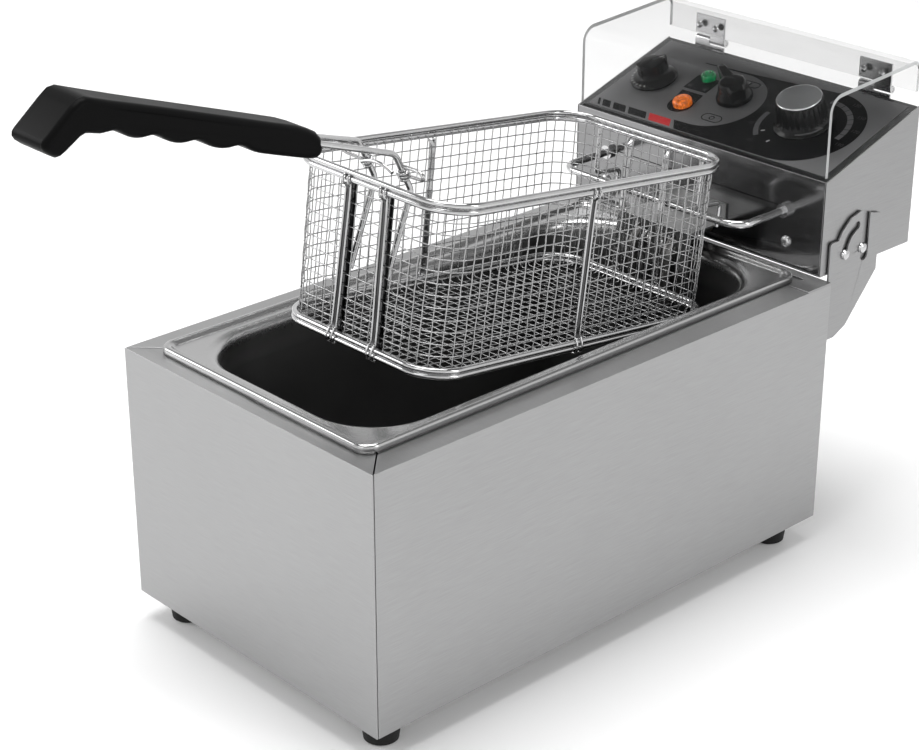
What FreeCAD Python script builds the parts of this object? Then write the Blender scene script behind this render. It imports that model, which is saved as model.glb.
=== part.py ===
"""Counter-top deep fryer: a steel body with a lift-out oil pan, a control head that
tilts back on two bracket wings, a hinged clear cover over the controls, and a wire
basket that hangs from the head.

Modelled in a working frame with X across, Y from the body's front face to the rear and
Z up from the floor. Each finished piece is then moved along Y so that the origin is at
the middle of the whole fryer, on the floor.
"""
import FreeCAD, Part
import math
import os
import re
import Sketcher

Vector = FreeCAD.Vector
Rotation = FreeCAD.Rotation

# ---------------------------------------------------------------- driving dimensions
SIZES = {
    # body
    "body_width": 216, "body_depth": 370, "body_height": 160, "sheet": 0.8, "seam": 0.4,
    "flange": 21, "base_thickness": 1.0, "vent_length": 60, "vent_width": 5,
    "foot_height": 17, "foot_radius": 11, "foot_inset": 20, "screw_radius": 2,
    # oil pan
    "pan_side": 17, "pan_end": 10, "pan_lip": 5, "pan_ledge": 8, "pan_lip_height": 5,
    "pan_step": 2.5, "pan_depth": 140, "pan_wall": 0.8, "pan_taper": 5,
    "pan_corner": 42, "pan_rim_corner": 10,
    # rear top plate and hinge bracket
    "top_plate": 1.0, "top_plate_depth": 22, "bracket_thickness": 1.5, "bracket_drop": 54,
    "bracket_gap": 0.5, "bracket_reach": 46, "bracket_top": 19, "slot_back": 3,
    "slot_radius": 3.6, "slot_drop": 5.5,
    # control head
    "head_side": 4.3, "head_depth": 88, "head_front_height": 61, "panel_slope": 18.2,
    "head_gap": 4.5, "head_overlap": 6, "fit_gap": 0.2,
    "pivot_back": 37, "pivot_up": 10.5, "pin_radius": 2.4, "pin_head": 3.4,
    "guide_radius": 16.8, "tilt_angle": 70, "slot_clearance": 0.3,
    # basket hanger, heating element and sensors
    "hanger_width": 148, "hanger_reach": 44, "hanger_up": 36, "hanger_radius": 2.4,
    "hanger_bend": 12,
    "element_radius": 3.2, "element_bend": 12, "element_up": 9, "element_gap": 14,
    "element_back": 40, "element_clearance": 12, "element_half_width": 52,
    "element_front": 65, "element_return": 34,
    "guard_width": 56, "guard_sheet": 1, "guard_up": 6, "guard_gap": 1.2, "slot_rows": 8,
    "slot_pitch": 12, "guard_slot_width": 40, "guard_slot_height": 5,
    "bulb_x": 5.5, "bulb_radius": 3, "bulb_length": 80, "capillary_radius": 0.9,
    # controls on the sloped panel: place across, place up the slope, sizes
    "overlay_side": 5.7, "overlay_depth": 84, "overlay_thickness": 0.3, "overlay_margin": 4.5,
    "timer_x": -75, "timer_v": 45, "timer_radius": 15.8, "timer_height": 15,
    "switch_x": -9, "switch_v": 49, "switch_radius": 12, "switch_height": 15,
    "switch_beak": 24,
    "dial_x": 51, "dial_v": 44, "dial_radius": 19, "dial_height": 21, "dial_cap_radius": 14.4,
    "green_x": -41, "green_v": 61, "green_radius": 5, "orange_x": -37, "orange_v": 30,
    "orange_radius": 6.4, "lamp_height": 5, "lamp_depth": 22, "shaft_radius": 3,
    "shaft_clearance": 0.5, "shaft_depth": 8,
    # clear cover and its hinges
    "cover_side": 2.2, "cover_thickness": 2.6, "cover_height": 51, "cover_rise": 6,
    "cover_front_bend": 10, "cover_rear_bend": 5, "cover_back_height": 19,
    "hinge_x": 68, "hinge_width": 25, "hinge_leaf": 1.2, "hinge_barrel": 2.4,
    "hinge_pin": 1.0, "hinge_up": 4.0, "hinge_lower_height": 14, "hinge_upper_height": 13,
    "hinge_upper_rise": 4, "rivet_radius": 2.4, "rivet_pitch": 14,
    # rear cover fittings
    "gland_x": -62, "gland_up": 26, "gland_radius": 10, "gland_length": 12, "gland_bore": 4,
    "reset_x": 20, "reset_up": 26, "reset_radius": 3, "reset_proud": 3,
    # basket, in its own tilted frame with the origin at the middle of its rim
    "basket_gap": 0.6, "basket_z": 270.7, "basket_tilt": 7, "basket_side": 25.25,
    "basket_end": 62, "basket_height": 98, "basket_taper": 1.5, "basket_flare": 2,
    "basket_corner": 22, "mesh_thickness": 1.2, "rim_wire": 1.7,
    "strap_width": 7.4, "strap_thickness": 1.6, "strap_x": 15, "strap_splay": 2, "strap_side_y": -4,
    "hook_x": 42, "hook_wire": 1.4, "hook_reach": 22, "hook_drop": 15, "hook_bend": 3,
    # handle
    "handle_wire": 1.8, "handle_bend": 8, "handle_inset": 17.5, "handle_leg": 56,
    "grip_width": 31, "grip_reach": 219.9, "grip_start": 36.7, "grip_wire_x": 8,
    "nose_height": 44.5, "nose_lean": 20.4,
}

doc = FreeCAD.newDocument("deep_fryer")
sheet_object = doc.addObject("Spreadsheet::Sheet", "Sizes")
for row, (alias, value) in enumerate(SIZES.items(), start=1):
    sheet_object.set("A%d" % row, alias)
    sheet_object.set("B%d" % row, str(value))
    sheet_object.setAlias("B%d" % row, alias)
doc.recompute()

places = doc.addObject("App::VarSet", "Places")
places.addProperty("App::PropertyFloat", "answer")
known = {alias: "Sizes." + alias for alias in SIZES}


def bound(text):
    """Turn size names in a formula into references to the sheet and the derived places."""
    return re.sub(r"[a-z][a-z0-9_]*", lambda word: known.get(word.group(), word.group()), text)


def number(text):
    """Work out a formula in size names as a plain number."""
    places.setExpression("answer", bound(text))
    places.recompute()
    return places.answer


def derive(name, text):
    """Name a place that follows from the driving dimensions."""
    places.addProperty("App::PropertyFloat", name)
    places.setExpression(name, bound(text))
    places.recompute()
    known[name] = "Places." + name


derive("body_top", "foot_height + body_height")
derive("head_width", "body_width - 2 * head_side")
derive("overlay_width", "head_width - 2 * overlay_side")
derive("cover_width", "head_width - 2 * cover_side")
derive("pan_width", "body_width - 2 * pan_side")
derive("pan_length", "body_depth - 2 * pan_end")
derive("head_front", "body_depth - head_overlap")
derive("head_back", "head_front + head_depth")
derive("head_floor", "body_top + head_gap")
derive("head_brow", "head_floor + head_front_height")
derive("head_rise", "head_depth * tan(panel_slope)")
derive("head_crown", "head_brow + head_rise")
derive("pivot_y", "head_front + pivot_back")
derive("pivot_z", "head_floor + pivot_up")
derive("pan_front", "(body_depth - pan_length) / 2")
derive("pan_top", "body_top + pan_lip_height")
derive("pan_shelf", "pan_top - pan_step")
derive("pan_floor", "pan_top - pan_depth")
derive("wing_inside", "head_width / 2 + bracket_gap")
derive("element_y", "head_front - element_back")
derive("element_z", "head_floor + element_up")
derive("element_floor", "pan_floor + element_clearance")
derive("hinge_y", "head_back + hinge_barrel + 0.3")
derive("hinge_z", "head_crown + hinge_up")
derive("hanger_y", "head_front - hanger_reach")
derive("hanger_z", "head_floor + hanger_up")
derive("basket_width", "pan_width - 2 * basket_side")
derive("basket_length", "pan_length - 2 * basket_end")
derive("basket_front", "-basket_length / 2")
derive("basket_y", "hanger_y - basket_length / 2 - basket_gap")
derive("grip_front", "basket_length / 2 + grip_reach")
derive("grip_rear", "basket_length / 2 + grip_start")
derive("grip_nose", "basket_y - grip_front * cos(basket_tilt) + nose_height * sin(basket_tilt)")
derive("rear_reach", "head_back + gland_length")
derive("middle", "(grip_nose + rear_reach) / 2")

nodes = []


# ---------------------------------------------------------------- shape helpers
def put(piece, x="0", y="0", z="0"):
    """Bind a piece's position to three formulas."""
    for axis, text in zip("xyz", (x, y, z)):
        piece.setExpression("Placement.Base." + axis, bound(text))
    return piece


def block(name, size, corner):
    """A box from its three sizes and its lowest corner."""
    piece = doc.addObject("Part::Box", name)
    for side, text in zip(("Length", "Width", "Height"), size):
        piece.setExpression(side, bound(text))
    return put(piece, *corner)


TURNS = {"x": Rotation(Vector(0, 1, 0), 90), "y": Rotation(Vector(1, 0, 0), -90), "z": Rotation()}


def cylinder(name, radius, length, start, axis="z"):
    """A round bar that runs from its start point along one axis."""
    piece = doc.addObject("Part::Cylinder", name)
    piece.setExpression("Radius", bound(radius))
    piece.setExpression("Height", bound(length))
    piece.Placement.Rotation = TURNS[axis]
    return put(piece, *start)


def fuse(name, pieces):
    joined = doc.addObject("Part::MultiFuse", name)
    joined.Shapes = pieces
    joined.Refine = True
    return joined


def cut(name, base, tools):
    """Take one or more tools away from a base."""
    result = doc.addObject("Part::Cut", name)
    result.Base = base
    result.Tool = tools[0] if len(tools) == 1 else fuse(name + "_tools", tools)
    result.Refine = True
    return result


def group(name, pieces):
    """Separate solids kept in one node."""
    together = doc.addObject("Part::Compound", name)
    together.Links = pieces
    return together


def outline_sketch(sketch, outline):
    """Draw a closed outline whose every corner is bound to a pair of formulas."""
    corners = [(number(across), number(up)) for across, up in outline]
    count = len(corners)
    for index in range(count):
        first = Vector(*corners[index], 0)
        last = Vector(*corners[(index + 1) % count], 0)
        sketch.addGeometry(Part.LineSegment(first, last), False)
    for index in range(count):
        sketch.addConstraint(Sketcher.Constraint("Coincident", index, 2, (index + 1) % count, 1))
    for index, formulas in enumerate(outline):
        for kind, place, formula in zip(("DistanceX", "DistanceY"), corners[index], formulas):
            which = sketch.addConstraint(Sketcher.Constraint(kind, index, 1, place))
            label = "%s%d" % (kind, index)
            sketch.renameConstraint(which, label)
            sketch.setExpression("Constraints." + label, bound(formula))
    return sketch


PLANES = {"XY": Rotation(), "YZ": Rotation(Vector(1, 1, 1), 120), "XZ": Rotation(Vector(1, 0, 0), 90)}


def plate(name, plane, outline, thickness, start=("0", "0", "0"), centred=False):
    """An outline drawn in a plane and given a thickness along the plane's normal."""
    sketch = doc.addObject("Sketcher::SketchObject", name + "_outline")
    outline_sketch(sketch, outline)
    sketch.Placement.Rotation = PLANES[plane]
    put(sketch, *start)
    solid = doc.addObject("Part::Extrusion", name)
    solid.Base = sketch
    solid.DirMode = "Normal"
    solid.Solid = True
    solid.Symmetric = centred
    solid.setExpression("LengthFwd", bound(thickness))
    return solid


def turned(name, outline):
    """A body turned about its own Z axis from an outline of radius and height."""
    body = doc.addObject("PartDesign::Body", name)
    upright = [plane for plane in body.Origin.OriginFeatures if plane.Role == "XZ_Plane"][0]
    sketch = body.newObject("Sketcher::SketchObject", name + "_outline")
    sketch.AttachmentSupport = [(upright, "")]
    sketch.MapMode = "FlatFace"
    outline_sketch(sketch, outline)
    lathe = body.newObject("PartDesign::Revolution", name + "_turning")
    lathe.Profile = sketch
    lathe.ReferenceAxis = (sketch, ["V_Axis"])
    lathe.Angle = 360
    body.Tip = lathe
    return body


def copies(name, body, spots, turn=None):
    """Copies of one body at several spots, each bound to formulas."""
    links = []
    for index, spot in enumerate(spots, start=1):
        link = doc.addObject("App::Link", "%s_%d" % (name, index))
        link.LinkedObject = body
        link.LinkTransform = True
        if turn:
            link.Placement.Rotation = turn[index - 1]
        links.append(put(link, *spot))
    return group(name, links)


def bent_path(points, bend):
    """Straight runs joined by tangent arcs of one radius, as a wire."""
    edges = []
    here = points[0]
    for corner, after in zip(points[1:-1], points[2:]):
        back = (here - corner).normalize()
        ahead = (after - corner).normalize()
        half = back.getAngle(ahead) / 2
        setback = bend / math.tan(half)
        start = corner + back * setback
        finish = corner + ahead * setback
        inward = (back + ahead).normalize()
        apex = corner + inward * (bend / math.sin(half) - bend)
        edges.append(Part.LineSegment(here, start).toShape())
        edges.append(Part.Arc(start, apex, finish).toShape())
        here = finish
    edges.append(Part.LineSegment(here, points[-1]).toShape())
    return Part.Wire(edges)


def rod(points, radius, bend):
    """A round rod bent along a path."""
    spots = [Vector(*[number(str(value)) for value in point]) for point in points]
    path = bent_path(spots, bend)
    circle = Part.Wire(Part.makeCircle(radius, spots[0], spots[1] - spots[0]))
    return path.makePipeShell([circle], True, False)


def rounded_ring(width, length, radius, height, shift=0):
    """A closed rectangle with round corners, centred across and shifted along Y."""
    side, end = width / 2, length / 2
    edges = []
    corners = [(side, end, 0), (-side, end, 90), (-side, -end, 180), (side, -end, 270)]
    centres = []
    for x, y, angle in corners:
        centre = Vector(x - math.copysign(radius, x), shift + y - math.copysign(radius, y), height)
        centres.append((centre, angle))
    for index, (centre, angle) in enumerate(centres):
        turn = [math.radians(angle + part) for part in (0, 45, 90)]
        arc = [centre + Vector(math.cos(a), math.sin(a), 0) * radius for a in turn]
        edges.append(Part.Arc(*arc).toShape())
        next_centre, next_angle = centres[(index + 1) % 4]
        begin = math.radians(next_angle)
        edges.append(Part.LineSegment(arc[2], next_centre
                                      + Vector(math.cos(begin), math.sin(begin), 0) * radius).toShape())
    return Part.Wire(edges)


def ring_rod(width, length, corner, height, radius):
    """A round wire bent into a rounded rectangle."""
    path = rounded_ring(width, length, corner, height)
    start = Vector(width / 2, length / 2 - corner, height)
    circle = Part.Wire(Part.makeCircle(radius, start, Vector(0, 1, 0)))
    return path.makePipeShell([circle], True, False)


def scripted(name, shape):
    """A piece whose shape is worked out by this script."""
    piece = doc.addObject("Part::Feature", name)
    piece.Shape = shape
    return piece


# ---------------------------------------------------------------- frames for finished pieces
def keep(label, piece):
    """A finished piece in the working frame, moved to the fryer's own origin."""
    base = dict(piece.ExpressionEngine).get("Placement.Base.y")
    base = dict(piece.ExpressionEngine).get(".Placement.Base.y", base)
    moved = "-Places.middle" if base is None else "(%s) - Places.middle" % base
    piece.setExpression("Placement.Base.y", moved)
    piece.Label = label
    nodes.append(piece)
    return piece


def keep_on_panel(label, piece, x="0", up="0", lift="0"):
    """A finished piece drawn flat, laid on the sloped control panel."""
    piece.Placement.Rotation = Rotation(Vector(1, 0, 0), number("panel_slope"))
    piece.setExpression("Placement.Rotation.Angle", bound("panel_slope"))
    y = "head_front + (%s) * cos(panel_slope) - (%s) * sin(panel_slope) - middle" % (up, lift)
    z = "head_brow + (%s) * sin(panel_slope) + (%s) * cos(panel_slope)" % (up, lift)
    put(piece, x, y, z)
    piece.Label = label
    nodes.append(piece)
    return piece


def keep_in_basket(label, piece):
    """A finished piece drawn level about the basket's rim, tilted and hung in place."""
    piece.Placement.Rotation = Rotation(Vector(-1, 0, 0), number("basket_tilt"))
    piece.setExpression("Placement.Rotation.Angle", bound("basket_tilt"))
    put(piece, "0", "basket_y - middle", "basket_z")
    piece.Label = label
    nodes.append(piece)
    return piece


def panel_tool(name, radius, x, up):
    """A round cutter through the sloped panel, in the working frame."""
    tool = doc.addObject("Part::Cylinder", name)
    tool.setExpression("Radius", bound(radius))
    tool.Height = 12
    tool.Placement.Rotation = Rotation(Vector(1, 0, 0), number("panel_slope"))
    tool.setExpression("Placement.Rotation.Angle", bound("panel_slope"))
    y = "head_front + (%s) * cos(panel_slope) + 6 * sin(panel_slope)" % up
    z = "head_brow + (%s) * sin(panel_slope) - 6 * cos(panel_slope)" % up
    return put(tool, x, y, z)


# ---------------------------------------------------------------- body
def make_side_wrap():
    """Both sides and the rear in one folded sheet, with its flanges round the top."""
    inset = "sheet + seam"
    run = "body_depth - (%s)" % inset
    walls = [block("left_side", ("sheet", run, "body_height"), ("-body_width / 2", inset, "foot_height")),
             block("right_side", ("sheet", run, "body_height"),
                   ("body_width / 2 - sheet", inset, "foot_height")),
             block("rear_wall", ("body_width", "sheet", "body_height"),
                   ("-body_width / 2", "body_depth - sheet", "foot_height")),
             block("rear_flange", ("body_width", "flange", "sheet"),
                   ("-body_width / 2", "body_depth - flange", "body_top - sheet"))]
    for side, sign in (("left", "-"), ("right", "")):
        outline = [(sign + "body_width / 2", inset), (sign + "body_width / 2", "body_depth"),
                   (sign + "(body_width / 2 - flange)", "body_depth"),
                   (sign + "(body_width / 2 - flange)", "flange + " + inset)]
        walls.append(plate(side + "_flange", "XY", outline, "sheet", ("0", "0", "body_top - sheet")))
    holes = [cylinder("wrap_hole", "screw_radius", "6", (x, "body_depth - 4", z), "y")
             for x, z in bracket_screw_spots()]
    keep("side_wrap", cut("side_wrap_sheet", fuse("side_wrap_blank", walls), holes))


def make_front_panel():
    """The front sheet, its mitred flange on top and a return under it."""
    front = block("front_sheet", ("body_width", "sheet", "body_height"),
                  ("-body_width / 2", "0", "foot_height"))
    outline = [("-body_width / 2", "0"), ("body_width / 2", "0"),
               ("body_width / 2 - flange + seam", "flange"), ("-body_width / 2 + flange - seam", "flange")]
    flange = plate("front_flange", "XY", outline, "sheet", ("0", "0", "body_top - sheet"))
    keep("front_panel", fuse("front_panel_sheet", [front, flange]))


def make_base_plate():
    """The bottom sheet, with rows of vent slots."""
    gap = "(sheet + fit_gap)"
    size = ("body_width - 2 * %s" % gap, "body_depth - 2 * %s" % gap, "base_thickness")
    floor = block("base_sheet", size,
                  ("-body_width / 2 + %s" % gap, gap, "foot_height"))
    tools = []
    for row in range(6):
        for side in (-1, 1):
            x = "%d * body_width / 5 - vent_length / 2" % side
            y = "body_depth / 2 + %d * vent_width" % (4 * row - 10)
            tools.append(block("vent", ("vent_length", "vent_width", "4"), (x, y, "foot_height - 1")))
    for x, y in foot_spots():
        tools.append(cylinder("foot_hole", "screw_radius", "4", (x, y, "foot_height - 1")))
    keep("base_plate", cut("base_plate_sheet", floor, tools))


def foot_spots():
    across = "(body_width / 2 - foot_inset)"
    return [(sign + across, y) for sign in ("-", "") for y in ("foot_inset", "body_depth - foot_inset")]


def make_feet():
    foot = turned("foot", [("screw_radius", "3"), ("screw_radius", "foot_height"),
                           ("foot_radius", "foot_height"), ("foot_radius", "foot_height / 2"),
                           ("foot_radius - 1", "1"),
                           ("foot_radius - 2.5", "0"), ("foot_radius / 2", "0"), ("foot_radius / 2", "3")])
    keep("feet", copies("foot_set", foot, [(x, y, "0") for x, y in foot_spots()]))
    top = "foot_height + base_thickness"
    screw = turned("foot_screw", [("0", "1"), ("screw_radius * 2", "1"), ("screw_radius * 2", "3"),
                                  ("screw_radius", "3"), ("screw_radius", top),
                                  ("screw_radius * 2", top), ("screw_radius * 2", top + " + 3"),
                                  ("0", top + " + 3")])
    keep("foot_screws", copies("foot_screw_set", screw, [(x, y, "0") for x, y in foot_spots()]))


def make_rear_top_plate():
    """The thin plate on the body's rear flange, cut round the pan's rim."""
    notch = "pan_width / 2 + 2"
    front = "body_depth - top_plate_depth"
    behind = "pan_front + pan_length + 2"
    outline = [("-body_width / 2", front), ("-(%s)" % notch, front), ("-(%s)" % notch, behind),
               (notch, behind), (notch, front), ("body_width / 2", front),
               ("body_width / 2", "body_depth"), ("-body_width / 2", "body_depth")]
    keep("rear_top_plate", plate("rear_top", "XY", outline, "top_plate", ("0", "0", "body_top")))


def make_pan():
    """The oil pan: a tapered tub with a stepped ledge and a raised lip round it."""
    inner_width = number("pan_width - 2 * (pan_lip + pan_ledge)")
    inner_length = number("pan_length - 2 * (pan_lip + pan_ledge)")
    wall, taper, corner = number("pan_wall"), number("pan_taper"), number("pan_corner")
    shelf, floor, centre = number("pan_shelf"), number("pan_floor"), number("body_depth / 2")

    def tub(grow, top, bottom):
        """A tapered block with a rounded bottom edge, grown outwards by the wall."""
        levels = [(0, top), (taper, bottom + 14), (taper + 4, bottom + 4), (taper + 14, bottom)]
        rings = [rounded_ring(inner_width + 2 * (grow - inset), inner_length + 2 * (grow - inset),
                              corner + grow - inset / 2, height, centre) for inset, height in levels]
        return Part.makeLoft(rings, True, True)

    lip, lip_corner, top = number("pan_lip"), number("pan_rim_corner"), number("pan_top")
    width, length = number("pan_width"), number("pan_length")
    seat = number("body_top")

    def slab(inset, low, high):
        ring = rounded_ring(width - 2 * inset, length - 2 * inset, lip_corner - inset, low, centre)
        return Part.Face(ring).extrude(Vector(0, 0, high - low))

    lip_ring = slab(0, seat + 0.1, top).cut(slab(lip, seat, top + 1))
    hollow = slab(wall, seat, top - wall).cut(slab(lip - wall, seat, top))
    ledge = slab(wall, shelf - wall, shelf)
    outside = tub(wall, shelf, floor - wall).fuse([lip_ring.cut(hollow), ledge])
    pan = outside.cut(tub(0, shelf + 0.01, floor))
    keep("pan", scripted("pan_shape", pan.removeSplitter()))


def make_bracket():
    """A back plate on the body's rear with two wings that carry the head's pins."""
    back = "body_depth + 0.1"
    low = "pivot_z - bracket_drop"
    top = "pivot_z + bracket_top"
    right = "body_depth + bracket_reach + 1.5"
    crest = "guide_radius + 8"
    wing = [(back, low), (back + " + 9", low), (back + " + 20", low + " + 5"), (right, "pivot_z - 18.5"),
            (right, top), (right + " - 7", top + " + 1.5"), ("pivot_y - 3", "pivot_z + (%s)" % crest),
            ("pivot_y - 12", "pivot_z + (%s) - 2.5" % crest), ("pivot_y - 20", "pivot_z + 15.5"),
            ("pivot_y - 23", "pivot_z + 10.5"), (back + " + 1.5", "pivot_z + 10.5"),
            (back, "pivot_z + 9")]
    span = "2 * (wing_inside + bracket_thickness)"
    joined = [block("bracket_back", (span, "bracket_thickness", "body_top - (%s)" % low),
                    ("-(%s) / 2" % span, back, low))]
    reach = "wing_inside + bracket_thickness"
    for side, start in (("left", "-(%s)" % reach), ("right", "wing_inside")):
        joined.append(plate(side + "_wing", "YZ", wing, "bracket_thickness", (start, "0", "0")))
    full = "2 * (%s) + 2" % reach
    edge = "-(%s) - 1" % reach
    slot_y = "pivot_y + slot_back"
    tools = [cylinder("pivot_hole", "pin_radius + slot_clearance", full, (edge, "pivot_y", "pivot_z"), "x"),
             cylinder("slot_end", "slot_radius", full, (edge, slot_y, "pivot_z - slot_drop"), "x"),
             block("slot_run", (full, "2 * slot_radius", "bracket_top + slot_drop + 12"),
                   (edge, slot_y + " - slot_radius", "pivot_z - slot_drop"))]
    width = "(pin_radius + slot_clearance)"
    far = reach + " + 1"
    outer = cylinder("guide_outer", "guide_radius + " + width, full, (far, "pivot_y", "pivot_z"), "x")
    inner = cylinder("guide_inner", "guide_radius - " + width, full, (far, "pivot_y", "pivot_z"), "x")
    for arc in (outer, inner):
        arc.setExpression("Angle", bound("tilt_angle"))
        arc.Placement.Rotation = Rotation(Vector(0, -1, 0), Vector(0, 0, 1), Vector(-1, 0, 0))
    tools.append(cut("guide_slot", outer, [inner]))
    for name, angle in (("guide_start", "0"), ("guide_finish", "tilt_angle")):
        tools.append(cylinder(name, width, full,
                              (edge, "pivot_y - guide_radius * cos(%s)" % angle,
                               "pivot_z + guide_radius * sin(%s)" % angle), "x"))
    for x, z in bracket_screw_spots():
        tools.append(cylinder("bracket_hole", "screw_radius", "4", (x, "body_depth - 1", z), "y"))
    keep("hinge_bracket", cut("bracket_sheet", fuse("bracket_blank", joined), tools))


def bracket_screw_spots():
    across = "(body_width / 2 - flange)"
    return [(sign + across, z) for sign in ("-", "") for z in ("body_top - 10", "body_top - 30")]


def make_bracket_screws():
    start = "bracket_thickness + 0.1"
    screw = turned("bracket_screw", [("0", "-3"), ("screw_radius", "-3"), ("screw_radius", start),
                                     ("screw_radius * 1.9", start),
                                     ("screw_radius * 1.6", start + " + 1.6"), ("0", start + " + 2.2")])
    spots = [(x, "body_depth", z) for x, z in bracket_screw_spots()]
    keep("bracket_screws", copies("bracket_screw_set", screw, spots, [TURNS["y"]] * 4))


# ---------------------------------------------------------------- control head
def make_head_housing():
    """The head's floor and both sides, folded from one sheet."""
    outline = [("head_front", "head_floor"), ("head_back", "head_floor"), ("head_back", "head_crown"),
               ("head_front", "head_brow")]
    sides = [plate("head_left", "YZ", outline, "sheet", ("-head_width / 2", "0", "0")),
             plate("head_right", "YZ", outline, "sheet", ("head_width / 2 - sheet", "0", "0")),
             block("head_bottom", ("head_width", "head_depth", "sheet"),
                   ("-head_width / 2", "head_front", "head_floor"))]
    tools = []
    for y, z in pin_spots():
        tools.append(cylinder("head_pin_hole", "pin_radius", "head_width + 2",
                              ("-head_width / 2 - 1", y, z), "x"))
    keep("head_housing", cut("head_housing_sheet", fuse("head_housing_blank", sides), tools))


def pin_spots():
    return [("pivot_y", "pivot_z"), ("pivot_y - guide_radius", "pivot_z")]


PANEL_HOLES = (("timer_x", "timer_v", "shaft_radius + 1.5"), ("switch_x", "switch_v", "shaft_radius + 1.5"),
               ("dial_x", "dial_v", "shaft_radius + 1.5"), ("green_x", "green_v", "green_radius - 1"),
               ("orange_x", "orange_v", "orange_radius - 1"))


def make_head_face():
    """The polished front and the sloped panel, folded from one sheet."""
    skin = "sheet / cos(panel_slope)"
    rear = "head_back - sheet - fit_gap"
    rear_top = "head_brow + (head_depth - sheet - fit_gap) * tan(panel_slope)"
    bottom = "head_floor + sheet + fit_gap"
    outline = [("head_front", bottom), ("head_front + sheet", bottom),
               ("head_front + sheet", "head_brow + sheet * tan(panel_slope) - " + skin),
               (rear, "%s - %s" % (rear_top, skin)), (rear, rear_top), ("head_front", "head_brow")]
    face = plate("head_face_blank", "YZ", outline, "head_width - 2 * (sheet + fit_gap)", centred=True)
    tools = [panel_tool("panel_hole", radius, x, up) for x, up, radius in PANEL_HOLES]
    before = "head_front - 2"
    for sign in ("-", ""):
        tools.append(cylinder("hanger_hole", "hanger_radius", "6",
                              (sign + "hanger_width / 2", before, "hanger_z"), "y"))
        tools.append(cylinder("face_screw_hole", "screw_radius", "6",
                              (sign + "face_screw_x", before, "face_screw_z"), "y"))
        tools.append(cylinder("element_hole", "element_radius + 0.2", "6",
                              (sign + "element_gap", before, "element_z"), "y"))
        tools.append(cylinder("bulb_hole", "capillary_radius + 0.2", "6",
                              (sign + "bulb_x", before, "element_z"), "y"))
    keep("head_face", cut("head_face_sheet", face, tools))


derive("face_screw_x", "head_width / 2 - 27.7")
derive("face_screw_z", "head_floor + 16")


def make_back_cover():
    """The removable rear cover, with holes for the cord gland and the reset button."""
    width = "head_width - 2 * (sheet + fit_gap)"
    bottom = "head_floor + sheet + fit_gap"
    cover = block("back_sheet", (width, "sheet", "head_crown - 1 - (%s)" % bottom),
                  ("-(%s) / 2" % width, "head_back - sheet", bottom))
    inside = "head_back - 3"
    tools = [cylinder("gland_hole", "gland_radius - 3", "6",
                      ("gland_x", inside, "head_floor + gland_up"), "y"),
             cylinder("reset_hole", "reset_radius + 0.4", "6",
                      ("reset_x", inside, "head_floor + reset_up"), "y")]
    for x, z in back_screw_spots():
        tools.append(cylinder("back_hole", "screw_radius * 0.7", "6", (x, inside, z), "y"))
    keep("head_back_cover", cut("head_back_sheet", cover, tools))
    screw = turned("back_screw", [("0", "-5"), ("screw_radius * 0.7", "-5"),
                                  ("screw_radius * 0.7", "0"), ("screw_radius * 1.5", "0"),
                                  ("screw_radius * 1.2", "1.3"), ("0", "1.8")])
    spots = [(x, "head_back", z) for x, z in back_screw_spots()]
    keep("back_screws", copies("back_screw_set", screw, spots, [TURNS["y"]] * 4))


def back_screw_spots():
    across = "(head_width / 2 - 12)"
    return [(sign + across, z) for sign in ("-", "") for z in ("head_floor + 12", "head_crown - 22")]


def make_overlay():
    """The printed control label on the slope."""
    film = block("overlay_film", ("overlay_width", "overlay_depth", "overlay_thickness"),
                 ("-overlay_width / 2", "overlay_margin", "0"))
    tools = [cylinder("overlay_hole", radius, "4", (x, up, "-2")) for x, up, radius in PANEL_HOLES]
    keep_on_panel("control_overlay", cut("overlay_sheet", film, tools), lift="0.05")


def make_fasteners():
    """Face screws, pivot pins with their nuts, and nuts behind the hanger."""
    quarter = Rotation(Vector(1, 0, 0), 90)
    screw = turned("face_screw", [("0", "-5"), ("screw_radius", "-5"), ("screw_radius", "0"),
                                  ("screw_radius * 1.8", "0"), ("screw_radius * 1.55", "1.4"),
                                  ("screw_radius * 0.9", "2.1"), ("0", "2.3")])
    spots = [(sign + "face_screw_x", "head_front", "face_screw_z") for sign in ("-", "")]
    keep("face_screws", copies("face_screw_set", screw, spots, [quarter, quarter]))
    outside = "bracket_gap + bracket_thickness + 0.3"
    pin = turned("pivot_pin", [("0", "-sheet - 5"), ("pin_radius", "-sheet - 5"), ("pin_radius", outside),
                               ("pin_head", outside), ("pin_head * 0.85", outside + " + 1.4"),
                               ("pin_head * 0.4", outside + " + 2.2"), ("0", outside + " + 2.3")])
    pins, turns = [], []
    for sign, angle in (("-", -90), ("", 90)):
        for y, z in pin_spots():
            pins.append((sign + "head_width / 2", y, z))
            turns.append(Rotation(Vector(0, 1, 0), angle))
    keep("pivot_pins", copies("pivot_pin_set", pin, pins, turns))
    nut = turned("pin_nut", [("pin_radius", "-sheet - 3.6"), ("pin_radius * 1.75", "-sheet - 3.6"),
                             ("pin_radius * 1.75", "-sheet - 0.1"), ("pin_radius", "-sheet - 0.1")])
    keep("pin_nuts", copies("pin_nut_set", nut, pins, turns))


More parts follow.
